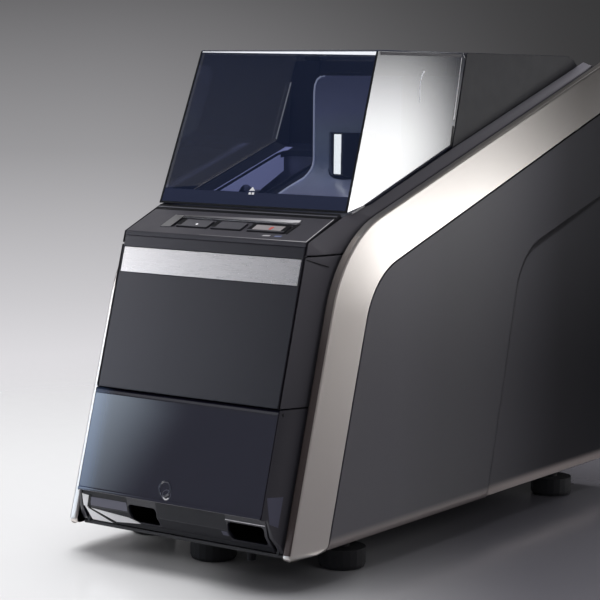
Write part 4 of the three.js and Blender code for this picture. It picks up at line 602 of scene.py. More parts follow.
class Palette:
    """Builds each finish once and hands it out by slot."""

    FINISHES = {
        Slot.CHARCOAL: Moulded("charcoal_cover", (0.04, 0.038, 0.047), 0.42, 0.2),
        Slot.DARK: Moulded("dark_cover", (0.042, 0.041, 0.049), 0.48, 0.1),
        Slot.BAND: SatinPaint("satin_band", (0.71, 0.68, 0.655)),
        Slot.BRUSHED: Brushed("brushed_trim", (0.68, 0.65, 0.65)),
        Slot.GLAZING: Smoked(
            "smoked_glazing",
            (0.013, 0.021, 0.055),
            0.62,
            (0.026, 0.032, 0.066),
            side_clear=0.25,
            seal_height=0.4035,
        ),
        Slot.KEYS: Moulded("key_plastic", (0.045, 0.044, 0.052), 0.36, 0.0, 1800.0),
        Slot.BLACK: Moulded("black_plastic", (0.014, 0.014, 0.017), 0.5, 0.0, 2000.0),
        Slot.DRUM: Moulded(
            "gloss_drum", (0.008, 0.01, 0.02), 0.12, 0.0, 900.0, 0.00001, 0.1, coat=0.6
        ),
        Slot.RUBBER: Rubber("foot_rubber"),
        Slot.CHASSIS: Moulded("chassis_paint", (0.03, 0.03, 0.034), 0.55, 0.1, 1400.0, 0.0001),
        Slot.REAR: Moulded("rear_paint", (0.15, 0.147, 0.16), 0.55, 0.1, 1500.0, 0.0001),
        Slot.STEEL: Turned("machined_steel", (0.62, 0.62, 0.63)),
        Slot.CASTING: Turned("cast_alloy", (0.42, 0.42, 0.43), 0.5, 900.0, 0.00012),
        Slot.GRIT: Grit("grinding_grit", (0.3, 0.28, 0.23)),
    }

    def __init__(self) -> None:
        """Starts with no material built."""
        self._built: dict[Finish, bpy.types.Material] = {}

    def __getitem__(self, slot: Slot) -> bpy.types.Material:
        """Returns the material of a slot."""
        return self.of(self.FINISHES[slot])

    def of(self, finish: Finish) -> bpy.types.Material:
        """Returns the material of any finish."""
        if finish not in self._built:
            self._built[finish] = finish.build()
        return self._built[finish]


PALETTE = Palette()
NODE_SLOTS = {row["node"]: Slot(row["material_slot"]) for row in frame["record"]["subparts"]}
NODE_BODIES = {
    node: body for body, nodes in frame["record"]["behaviour"]["bodies"].items() for node in nodes
}


# Meshes


class Form:
    """A mesh in the making."""

    def __init__(self) -> None:
        """Starts empty."""
        self.mesh = bmesh.new()

    @classmethod
    def of_node(cls, node: str) -> "Form":
        """Starts from the outline of a CAD node, with its flat faces joined.

        Args:
            node: The node's name.

        Returns:
            The form.
        """
        form = cls()
        form.mesh.from_mesh(frame["nodes"][node].data)
        bmesh.ops.remove_doubles(form.mesh, verts=form.mesh.verts, dist=WELD)
        bmesh.ops.dissolve_limit(
            form.mesh,
            angle_limit=JOINED,
            verts=form.mesh.verts,
            edges=form.mesh.edges,
            use_dissolve_boundaries=False,
        )
        return form

    def loft(self, rings: Sequence[Sequence[Point]], closed: bool = False) -> "Form":
        """Joins rings of points with quads.

        Args:
            rings: Rings of points, all of one length.
            closed: Whether the last ring joins the first; if not, the ends are filled.

        Returns:
            This form.
        """
        rows = [[self.mesh.verts.new(p) for p in ring] for ring in rings]
        count = len(rows[0])
        pairs = list(zip(rows, rows[1:])) + ([(rows[-1], rows[0])] if closed else [])
        for low, high in pairs:
            for i in range(count):
                j = (i + 1) % count
                self.mesh.faces.new((low[i], low[j], high[j], high[i]))
        if not closed:
            self.mesh.faces.new(rows[0][::-1])
            self.mesh.faces.new(rows[-1])
        bmesh.ops.recalc_face_normals(self.mesh, faces=self.mesh.faces)
        return self

    def revolve(self, profile: Sequence[Plan], place: Matrix, steps: int) -> "Form":
        """Turns a closed profile of (radius, height) about Z, then moves it.

        Args:
            profile: The outline, without the axis.
            place: Where the result goes.
            steps: Sides of the round.

        Returns:
            This form.
        """
        rings = [
            [tuple(place @ Vector((r * math.cos(t), r * math.sin(t), h))) for r, h in profile]
            for t in turns(steps)
        ]
        return self.loft(rings, closed=True)

    def plate(self, outline: Sequence[Plan], low: float, high: float, place: Matrix) -> "Form":
        """Raises an outline from low to high along Z, then moves it.

        Args:
            outline: The outline, in (x, y).
            low: Its lower height.
            high: Its upper height.
            place: Where the result goes.

        Returns:
            This form.
        """
        rings = [[tuple(place @ Vector((x, y, h))) for x, y in outline] for h in (low, high)]
        return self.loft(rings)

    def bead(
        self,
        path: Sequence[Vector],
        radius: float,
        over: Point,
        sides: int = 8,
        closed: bool = False,
    ) -> "Form":
        """Runs a round bead along a path.

        Args:
            path: The middle of the bead.
            radius: Its radius.
            over: A way that the path never takes.
            sides: Sides of the round.
            closed: Whether the end joins the start.

        Returns:
            This form.
        """
        rings = []
        last = len(path) - 1
        for i, point in enumerate(path):
            before = path[i - 1] if i or closed else point
            after = path[(i + 1) % len(path)] if i < last or closed else point
            way = (after - before).normalized()
            side = way.cross(Vector(over)).normalized()
            top = side.cross(way)
            ways = [side * math.cos(t) + top * math.sin(t) for t in turns(sides)]
            rings.append([tuple(point + out * radius) for out in ways])
        return self.loft(rings, closed)

    def soften(
        self,
        width: float,
        segments: int = 2,
        where: Callable[[Vector], bool] = lambda middle: True,
    ) -> "Form":
        """Rounds the edges that aren't nearly flat.

        Args:
            width: Width of the rounding.
            segments: Faces across it.
            where: Picks edges by their middle.

        Returns:
            This form.
        """
        edges = [
            e
            for e in self.mesh.edges
            if e.is_manifold
            and e.calc_face_angle(0.0) > ROUNDED
            and where((e.verts[0].co + e.verts[1].co) / 2)
        ]
        bmesh.ops.bevel(
            self.mesh,
            geom=edges,
            offset=width,
            offset_type="OFFSET",
            segments=segments,
            profile=0.6,
            affect="EDGES",
            clamp_overlap=False,
        )
        return self

    def done(
        self,
        name: str,
        material: bpy.types.Material,
        body: str,
        slot: Slot,
        replaces: Iterable[str] = (),
    ) -> bpy.types.Object:
        """Turns the form into a piece of the machine.

        Args:
            name: The piece's name.
            material: Its material.
            body: The body it rides on.
            slot: The record's slot for its finish; not used.
            replaces: CAD nodes it stands for.

        Returns:
            The piece.
        """
        data = bpy.data.meshes.new(name)
        self.mesh.to_mesh(data)
        self.mesh.free()
        data.shade_smooth()
        data.set_sharp_from_angle(angle=CREASED)
        data.materials.append(material)
        piece = bpy.data.objects.new(name, data)
        bpy.context.scene.collection.objects.link(piece)
        weigh = piece.modifiers.new("weigh", "WEIGHTED_NORMAL")
        weigh.keep_sharp = True
        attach(piece, body)
        nodes = list(replaces)
        if nodes:
            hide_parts(*nodes)
        return piece


def refined(
    node: str, width: float, segments: int = 2, finish: Finish | None = None
) -> bpy.types.Object:
    """Stands a copy with rounded edges in for a CAD node.

    Args:
        node: The node's name.
        width: Width of the rounding.
        segments: Faces across it.
        finish: Its finish, where it isn't that of its slot.

    Returns:
        The piece.
    """
    slot = NODE_SLOTS[node]
    form = Form.of_node(node).soften(width, segments)
    material = PALETTE.of(finish) if finish else PALETTE[slot]
    return form.done(f"{node}_skin", material, NODE_BODIES[node], slot, [node])


@dataclass(frozen=True)
class Facet:
    """Flat face of a CAD node, drawn on by world positions."""

    origin: Vector
    normal: Vector

    @classmethod
    def of_node(cls, node: str, toward: Point, within: float = 10.0) -> "Facet":
        """Finds the widest flat face that looks about one way.

        Args:
            node: The node's name.
            toward: The way it looks.
            within: The most that it looks aside, in degrees.

        Returns:
            The face.
        """
        aim, limit = Vector(toward), math.radians(within)
        planes: dict[tuple[float, ...], list[bpy.types.MeshPolygon]] = {}
        for piece in frame["nodes"][node].data.polygons:
            if piece.normal.angle(aim) < limit:
                away = piece.normal.dot(piece.center)
                key = (*(round(n, 2) for n in piece.normal), round(away, 4))
                planes.setdefault(key, []).append(piece)
        widest = max(planes.values(), key=lambda rows: sum(row.area for row in rows))
        return cls(widest[0].center.copy(), widest[0].normal.copy())

    @property
    def matrix(self) -> Matrix:
        """Returns where the face is, with Z out of it."""
        along = Vector((0, 1, 0)) if abs(self.normal.x) > 0.7 else Vector((1, 0, 0))
        up = self.normal.cross(along).normalized()
        turn = Matrix((up.cross(self.normal), up, self.normal)).transposed()
        return Matrix.Translation(self.origin) @ turn.to_4x4()

    def at(self, grid: Grid, pair: Plan) -> Vector:
        """Returns the face's point with two world coordinates.

        Args:
            grid: Which two they are; the one along Y is a depth.
            pair: The coordinates.

        Returns:
            The point.
        """
        point = self.origin.copy()
        for axis, value in zip(grid.value, pair):
            point[axis] = depth(value) if axis == 1 else value
        free = ({0, 1, 2} - set(grid.value)).pop()
        point[free] -= self.normal.dot(point - self.origin) / self.normal[free]
        return point

    def plan(self, grid: Grid, pairs: Iterable[Plan]) -> list[Plan]:
        """Returns world positions as places on the face."""
        back = self.matrix.inverted()
        return [tuple((back @ self.at(grid, pair)).to_2d()) for pair in pairs]


def stroke(path: Sequence[Plan], width: float) -> list[Plan]:
    """Draws round a line.

    Args:
        path: The middle of the line.
        width: Its width.

    Returns:
        The outline.
    """
    points = [Vector(p) for p in path]
    near, far = [], []
    for i, point in enumerate(points):
        before = (point - points[i - 1] if i else points[1] - point).normalized()
        after = (points[i + 1] - point).normalized() if i + 1 < len(points) else before
        way = (before + after).normalized()
        side = Vector((-way.y, way.x)) * (width / 2 / max(0.5, way.dot(after)))
        near.append(tuple(point + side))
        far.append(tuple(point - side))
    return near + far[::-1]


@dataclass(frozen=True)
class Mark:
    """Thin flat piece that lies on a face; with a width, its points are a line."""

    name: str
    finish: Finish
    slot: Slot
    points: Outline
    lift: float = 0.0003
    width: float = 0.0
    sink: float = 0.0004

    def lay(self, face: Facet, grid: Grid, body: str) -> None:
        """Lays the piece on a face.

        Args:
            face: The face.
            grid: The world axes of its points.
            body: The body it rides on.
        """
        outline = face.plan(grid, self.points)
        if self.width:
            outline = stroke(outline, self.width)
        form = Form().plate(outline, -self.sink, self.lift, face.matrix)
        form.done(self.name, PALETTE.of(self.finish), body, self.slot)


# Sub-assemblies


@dataclass
class Covers:
    """Painted covers, mouldings and silver bands."""

    # Painted sheen and shade: lighter at the front and darker towards the back, with a painted
    # reflection of the floor along its foot.
    side: Graded = Graded(
        "side_cover",
        "Y",
        depth(0.1),
        depth(0.7),
        (
            (0.0, (0.085, 0.08, 0.096)),
            (0.18, (0.082, 0.078, 0.094)),
            (0.33, (0.056, 0.053, 0.065)),
            (0.55, (0.037, 0.035, 0.044)),
            (0.66, (0.024, 0.023, 0.03)),
            (0.82, (0.01, 0.0095, 0.013)),
            (1.0, (0.005, 0.005, 0.008)),
        ),
        0.42,
        metallic=0.2,
        foot=(0.040, 0.050),
        metal_end=0.7,
    )
    # Painted light: lighter on the left, darker on the right.
    front: Graded = Graded(
        "front_cover_grey",
        "X",
        -0.125,
        0.125,
        ((0.0, (0.06, 0.057, 0.068)), (0.35, (0.04, 0.038, 0.047)), (1.0, (0.02, 0.019, 0.026))),
        0.42,
        metallic=0.2,
    )
    # Painted light: lighter towards the top, on the front frame and the shoulders.
    frame: Graded = Graded(
        "frame_grey",
        "Z",
        0.05,
        0.39,
        (
            (0.0, (0.05, 0.049, 0.06)),
            (0.35, (0.075, 0.073, 0.085)),
            (0.7, (0.11, 0.106, 0.122)),
            (1.0, (0.125, 0.12, 0.14)),
        ),
        0.42,
        metallic=0.2,
    )
    # Painted shade: a much darker copy of the charcoal cover.
    housing: Moulded = Moulded("housing_grey", (0.012, 0.0118, 0.017), 0.55)
    # Painted reflection, brownish and lighter upwards, on the forward faces of the right band's
    # front part.
    inner_edge_reflection: Graded = Graded(
        "band_inner_edge",
        "Z",
        0.04,
        0.38,
        (
            (0.0, (0.09, 0.068, 0.064)),
            (0.6, (0.12, 0.095, 0.09)),
            (1.0, (0.4, 0.36, 0.34)),
        ),
        0.45,
        metallic=0.5,
    )
    edge_height: float = 0.052
    edge_depth: float = 0.2
    edge_lean: float = -0.6
    # Painted light: lighter round the chin's right end.
    chin: Graded = Graded(
        "chin_navy",
        "X",
        0.118,
        0.133,
        ((0.0, (0.018, 0.018, 0.027)), (1.0, (0.055, 0.053, 0.063))),
        0.32,
    )
    tip_rounding: float = 0.007
    tip_height: float = 0.046
    tip_depth: float = 0.03
    nodes: dict[str, float] = field(
        default_factory=lambda: {
            "band_left": 0.0012,
            "band_right": 0.0012,
            "side_panel_left": 0.001,
            "side_panel_right": 0.001,
            "shoulder_left": 0.0012,
            "shoulder_right": 0.0012,
            "front_frame": 0.0009,
            "front_cover": 0.0009,
            "trim_strip": 0.0003,
            "control_panel": 0.0007,
            "panel_trim": 0.0003,
            "lower_bezel": 0.0009,
            "upper_housing": 0.001,
            "rear_panel": 0.0005,
            "base_plate": 0.0006,
        }
    )

    def build(self) -> None:
        """Builds every cover."""
        finishes = {
            "side_panel_left": self.side,
            "side_panel_right": self.side,
            "front_cover": self.front,
            "front_frame": self.frame,
            "shoulder_left": self.frame,
            "shoulder_right": self.frame,
            "upper_housing": self.housing,
            "lower_bezel": self.chin,
        }
        for node, width in self.nodes.items():
            if node.startswith("band"):
                self._band(node, width)
            else:
                refined(node, width, finish=finishes.get(node))
            LOG.info("cover %s", node)

    def _band(self, node: str, width: float) -> None:
        """Rounds a silver band, most at its front foot, and paints a reflection on the right band's
        inner edge.

        Args:
            node: The band's node.
            width: Width of the rounding along the rest of it.
        """

        def tip(middle: Vector) -> bool:
            """Tells whether an edge is at the front foot."""
            return middle.z < self.tip_height and middle.y < depth(self.tip_depth)

        form = Form.of_node(node).soften(self.tip_rounding, 4, where=tip)
        form.soften(width, where=lambda middle: not tip(middle))
        band = form.done(f"{node}_skin", PALETTE[Slot.BAND], "machine", Slot.BAND, [node])
        # A second material paints a reflection on the faces picked below.
        band.data.materials.append(PALETTE.of(self.inner_edge_reflection))
        for face in band.data.polygons:
            onward = face.normal.y < self.edge_lean and face.center.x > 0.0
            ahead = face.center.y < depth(self.edge_depth)
            if onward and ahead and face.center.z > self.edge_height:
                face.material_index = 1


# Black for gaps and seals, also used to paint shadow.
GAP_AND_SHADOW = Moulded("gap_and_shadow_black", (0.004, 0.004, 0.005), 0.6, 0.0, 1200.0)
# White for print, also used for painted highlights on the door's finger mark and the chin.
PRINT_AND_GLINT = Moulded("print_and_glint_white", (0.85, 0.85, 0.87), 0.5)
LIT_EDGE = Moulded("lit_edge", (0.62, 0.61, 0.64), 0.3, 0.5)
EDGE_GLINT = Moulded("edge_glint", (0.8, 0.82, 0.86), 0.3, glow=0.3)
# Grey of a painted reflection along the right pane's top edge.
EDGE_GREY = Moulded("edge_grey", (0.07, 0.068, 0.08), 0.45)
RING = Moulded("ring_grey", (0.1, 0.1, 0.13), 0.3)
PANEL_AIM = (0, -0.381, 0.925)


@dataclass
class Glazing:
    """Smoked hood and door with their seals, marks and painted highlights."""

    rounding: float = 0.0008
    top_rounding: float = 0.0016
    top_band: float = 0.0008
    door_rounding: float = 0.0006
    front_aim: Point = (0, -0.93, 0.36)
    left_aim: Point = (1, 0, -0.04)
    right_aim: Point = (1, 0, 0.042)
    door_aim: Point = (0, -0.963, 0.271)
    corner_low: Plan = (0.1306, 0.3875)
    corner_high: Plan = (0.1237, 0.5612)
    corner_width: float = 0.0022
    foot_height: float = 0.3880
    foot_width: float = 0.0024
    arrow_x: float = -0.0025
    arrow_half: float = 0.004
    arrow_heights: Plan = (0.4054, 0.4096)
    bar_heights: Plan = (0.4012, 0.4036)
    bar_ends: Plan = (0.0006, 0.0038)
    # Painted highlights on the panes: the lines pane_line, rim_line and rear_line and the outline
    # top_wedge; side_edge is a painted grey reflection and rear_seal a seal.
    pane_line: Outline = ((0.3668, 0.4560), (0.3930, 0.5260))
    pane_line_width: float = 0.0016
    top_wedge: Outline = (
        (-0.1212, 0.5610), (0.1226, 0.5610), (0.1229, 0.5572), (-0.1212, 0.5602),
    )
    rim_line: Outline = (
        (0.3110, 0.5405), (0.3070, 0.5370), (0.3036, 0.5328), (0.3013, 0.5278),
        (0.3003, 0.5220), (0.2997, 0.5060),
    )
    side_edge: Outline = ((0.2195, 0.5592), (0.3940, 0.5592))
    rear_line: Outline = ((0.3940, 0.5570), (0.3735, 0.4850))
    rear_seal: Outline = ((0.3725, 0.4775), (0.3660, 0.4545))
    mark_centre: Plan = (-0.0019, 0.0842)
    mark_radius: float = 0.0056
    mark_tube: float = 0.0003
    # The smile is a painted highlight on the finger mark's lower lip.
    smile_radius: float = 0.0043
    smile_width: float = 0.0014
    smile_angles: tuple[int, int, int] = (205, 340, 15)
    # Painted light along the door's left edge, in the border colour.
    door: Smoked = Smoked(
        "smoked_door",
        (0.014, 0.013, 0.026),
        0.05,
        (0.08, 0.12, 0.22),
        1.5,
        glow=0.8,
        glow_edge=-0.125,
    )

    def build(self) -> None:
        """Builds the hood and the door."""
        self._hood()
        self._front_marks()
        self._pane_lines()
        self._door()
        LOG.info("glazing")

    def _hood(self) -> None:
        """Rounds the hood, most along its top, and keeps it within the CAD box."""
        roof = CAD_BOX[1].z
        top = roof - self.top_band
        form = Form.of_node("hood").soften(self.top_rounding, 4, lambda middle: middle.z > top)
        form.soften(self.rounding, where=lambda middle: middle.z < top - self.top_rounding)
        for vert in form.mesh.verts:
            vert.co.z = min(vert.co.z, roof)
        form.done("hood_skin", PALETTE[Slot.GLAZING], "hood", Slot.GLAZING, ["hood"])

    def _front_marks(self) -> None:
        """Lays the corner seals, the foot seal and the arrow on the front pane."""
        (low_x, low_z), (high_x, high_z) = self.corner_low, self.corner_high
        marks = []
        for name, side in SIDES:
            corners = (
                (side * low_x, low_z),
                (side * high_x, high_z),
                (side * (high_x - self.corner_width), high_z),
                (side * (low_x - self.corner_width), low_z),
            )
            marks.append(Mark(f"hood_corner_{name}", GAP_AND_SHADOW, Slot.BLACK, corners))
        foot = ((-low_x, self.foot_height), (low_x, self.foot_height))
        marks.append(Mark("hood_foot_seal", GAP_AND_SHADOW, Slot.BLACK, foot, width=self.foot_width))
        x, half, (low, high) = self.arrow_x, self.arrow_half, self.arrow_heights
        arrow = ((x - half, low), (x + half, low), (x, high))
        marks.append(Mark("hood_arrow", PRINT_AND_GLINT, Slot.BRUSHED, arrow))
        low, high = self.bar_heights
        for name, side in SIDES:
            left, right = sorted(x + side * end for end in self.bar_ends)
            bar = boxed(left, low, right, high)
            marks.append(Mark(f"hood_bar_{name}", PRINT_AND_GLINT, Slot.BRUSHED, bar))
        front = Facet.of_node("hood", self.front_aim)
        for mark in marks:
            mark.lay(front, Grid.FRONT, "hood")

    def _pane_lines(self) -> None:
        """Lays the painted highlights, a painted grey reflection and the seal along the edges of
        the panes.
        """
        left = Facet.of_node("hood", self.left_aim, 4.0)
        width = self.pane_line_width
        line = Mark("hood_pane_line", EDGE_GLINT, Slot.BRUSHED, self.pane_line, width=width)
        line.lay(left, Grid.SIDE, "hood")
        front = Facet.of_node("hood", self.front_aim)
        wedge = Mark("hood_top_glint", EDGE_GLINT, Slot.BRUSHED, self.top_wedge, THIN)
        wedge.lay(front, Grid.FRONT, "hood")
        right = Facet.of_node("hood", self.right_aim, 3.0)
        # Painted highlights, a painted grey reflection and the rear seal on the right pane.
        for name, finish, path, width in (
            ("hood_rim_glint", EDGE_GLINT, self.rim_line, 0.0018),
            ("hood_side_edge", EDGE_GREY, self.side_edge, 0.0034),
            ("hood_rear_glint", LIT_EDGE, self.rear_line, 0.0010),
            ("hood_rear_seal", GAP_AND_SHADOW, self.rear_seal, 0.0036),
        ):
            Mark(name, finish, Slot.BLACK, path, THIN, width).lay(right, Grid.SIDE, "hood")

    def _door(self) -> None:
        """Rounds the door and lays its finger mark: a ring, and a painted highlight on the mark's
        lower lip.
        """
        door = Form.of_node("door").soften(self.door_rounding)
        door.done("door_skin", PALETTE.of(self.door), "door", Slot.GLAZING, ["door"])
        front = Facet.of_node("door", self.door_aim)
        circle = around(self.mark_centre, self.mark_radius, turns(24))
        path = [front.at(Grid.FRONT, pair) for pair in circle]
        ring = Form().bead(path, self.mark_tube, tuple(front.normal), 6, True)
        ring.done("door_ring", PALETTE.of(RING), "door", Slot.KEYS)
        angles = [math.radians(a) for a in range(*self.smile_angles)]
        smile = around(self.mark_centre, self.smile_radius, angles)
        mark = Mark("door_smile", PRINT_AND_GLINT, Slot.BRUSHED, smile, 0.0001, self.smile_width)
        mark.lay(front, Grid.FRONT, "door")


@dataclass
class Inside:
    """Deck, tower and working parts under the hood."""

    nodes: tuple[str, ...] = ("deck", "tool_head", "chamber_tub", "clamp_slider", "carriage")
    # Painted light: brightest across the middle heights, darker at the foot and the top.
    tower: Graded = Graded(
        "tower_blue",
        "Z",
        0.39,
        0.54,
        (
            (0.0, (0.4, 0.42, 0.72)),
            (0.3, (0.55, 0.66, 0.95)),
            (0.5, (0.62, 0.74, 0.98)),
            (0.7, (0.42, 0.46, 0.78)),
            (1.0, (0.2, 0.22, 0.42)),
        ),
        0.3,
    )
    deck: Moulded = Moulded("deck_blue", (0.014, 0.016, 0.034), 0.4)
    # Glowing sheet on the well's left wall and its lip: painted light.
    lit_lining: Moulded = Moulded("well_blue", (0.34, 0.38, 0.75), 0.4, glow=0.55)
    # Glowing bead along the tower's edge: a painted highlight.
    rim: Moulded = Moulded("rim_blue", (0.6, 0.66, 0.95), 0.25, glow=0.45)
    # Glowing strip on the drum: a painted highlight.
    gleam: Moulded = Moulded("drum_gleam", (0.86, 0.92, 1.0), 0.3, glow=2.2)
    gleam_ends: Plan = (-112.0, -95.0)
    gleam_steps: int = 6
    gleam_half: float = 0.0004
    gleam_gap: float = 0.002
    rim_radius: float = 0.0011
    rim_path: tuple[Point, ...] = (
        (0.0040, 0.1890, 0.3970), (0.0028, 0.2061, 0.4033), (0.0014, 0.2261, 0.4093),
        (0.0006, 0.2499, 0.4164), (0.0004, 0.2588, 0.4213), (0.0006, 0.2648, 0.4264),
        (0.0006, 0.2681, 0.4309), (0.0005, 0.2698, 0.4367), (0.0004, 0.2700, 0.4483),
        (0.0002, 0.2700, 0.4715), (0.0001, 0.2700, 0.4946), (0.0001, 0.2700, 0.5140),
        (0.0011, 0.2700, 0.5235), (0.0043, 0.2700, 0.5300), (0.0090, 0.2700, 0.5330),
        (0.0150, 0.2700, 0.5340),
    )
    face_depth: float = 0.2735
    foot_height: float = 0.3952
    flare_height: float = 0.4952
    flare_share: float = 0.42
    corner_x: float = 0.014
    corner_share: float = 0.8
    skirt_foot: float = 0.4205
    skirt_head: float = 0.4470
    # Corners of a black strip over the tower's top: painted shadow.
    cap: tuple[Point, Point] = ((0.006, 0.2705, 0.5343), (0.05, 0.3, 0.5385))
    well_x: float = -0.0876
    well_top: tuple[Plan, Plan] = ((0.186, 0.3931), (0.331, 0.4414))
    well_foot: tuple[Plan, Plan] = ((0.186, 0.354), (0.331, 0.4193))
    lining_thickness: float = 0.0008
    notch: Point = (0.255, 0.389, 0.0165)
    lip: Outline = (
        (-0.0975, 0.1905), (-0.0975, 0.3495), (-0.0872, 0.3495), (-0.0872, 0.1905),
    )
    rounding: float = 0.0008
    cap_rounding: float = 0.0015

    def build(self) -> None:
        """Builds the parts."""
        for node in self.nodes:
            refined(node, self.rounding, finish=self.deck if node == "deck" else None)
            LOG.info("inside %s", node)
        self._tower()
        self._drum()
        self._well()

    def _tower(self) -> None:
        """Steepens the tower's foot and runs a glowing bead along its edge, a painted highlight."""
        form = Form.of_node("tower_cover")
        flare = self.flare_height - self.foot_height
        for vert in form.mesh.verts:
            if vert.co.x < self.corner_x:
                vert.co.x = self.corner_x - (self.corner_x - vert.co.x) * self.corner_share
            rise = vert.co.z - self.foot_height
            if vert.co.y < depth(self.face_depth) and 0 < rise < flare:
                vert.co.z = self.foot_height + rise * self.flare_share
        form.soften(self.rounding)
        form.done("tower_skin", PALETTE.of(self.tower), "machine", Slot.DARK, ["tower_cover"])
        # Painted highlight along the tower's edge.
        path = [Vector((x, depth(back), z)) for x, back, z in self.rim_path]
        rim = Form().bead(path, self.rim_radius, (1, 0, 0.3))
        rim.done("tower_rim", PALETTE.of(self.rim), "machine", Slot.DARK)

    def _drum(self) -> None:
        """Adds the drum's skirt, a glowing strip on it as a painted highlight, and a black strip
        over the tower's top as painted shadow.
        """
        level, body = Matrix.Identity(4), NODE_BODIES["tool_head"]
        low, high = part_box("tool_head")
        middle, radius = ((low + high) / 2).to_2d(), (high.x - low.x) / 2
        circle = around(middle, radius, turns(64))
        skirt = Form().plate(circle, self.skirt_foot, self.skirt_head, level)
        skirt.done("drum_skirt", PALETTE[Slot.DRUM], body, Slot.DRUM)
        # Painted highlight: a glowing strip on the drum.
        start, end = (math.radians(a) for a in self.gleam_ends)
        steps = self.gleam_steps
        arc = [start + (end - start) * k / steps for k in range(steps + 1)]
        outline = (
            *around(middle, radius + self.gleam_half, arc),
            *around(middle, radius - self.gleam_half, arc[::-1]),
        )
        foot, head = self.skirt_foot + self.gleam_gap, high.z - self.gleam_gap
        gleam = Form().plate(outline, foot, head, level)
        gleam.done("drum_gleam", PALETTE.of(self.gleam), body, Slot.BRUSHED)
        # Painted shadow: a black strip over the tower's top.
        (x0, y0, z0), (x1, y1, z1) = self.cap
        cap = Form().plate(boxed(x0, depth(y0), x1, depth(y1)), z0, z1, level)
        cap.soften(self.cap_rounding).done("tower_cap_shadow", PALETTE.of(GAP_AND_SHADOW), "machine", Slot.BLACK)

    def _well(self) -> None:
        """Lines the left wall of the well, clear of the lens shaft, with a glowing sheet that
        paints light on it.
        """
        back, z, radius = self.notch
        (y0, foot0), (y1, foot1) = self.well_foot
        slope = (foot1 - foot0) / (y1 - y0)
        arc = [math.pi * k / 10 for k in range(11)]
        notch = [(back - radius * math.cos(t), z + radius * math.sin(t)) for t in arc]
        start = (back - radius, foot0 + slope * (back - radius - y0))
        end = (back + radius, foot0 + slope * (back + radius - y0))
        outline = [*self.well_top[::-1], (y0, foot0), start, *notch, end, (y1, foot1)]
        turn = Matrix(((0, 0, 1, 0), (1, 0, 0, 0), (0, 1, 0, 0), (0, 0, 0, 1)))
        plan = [(depth(y), height) for y, height in outline]
        form = Form().plate(plan, self.well_x, self.well_x + self.lining_thickness, turn)
        form.done("well_lining", PALETTE.of(self.lit_lining), "machine", Slot.DARK)
        deck = Facet.of_node("deck", (0, -0.316, 0.949))
        # The lip glows too: painted light.
        Mark("well_lip", self.lit_lining, Slot.DARK, self.lip).lay(deck, Grid.TOP, "machine")


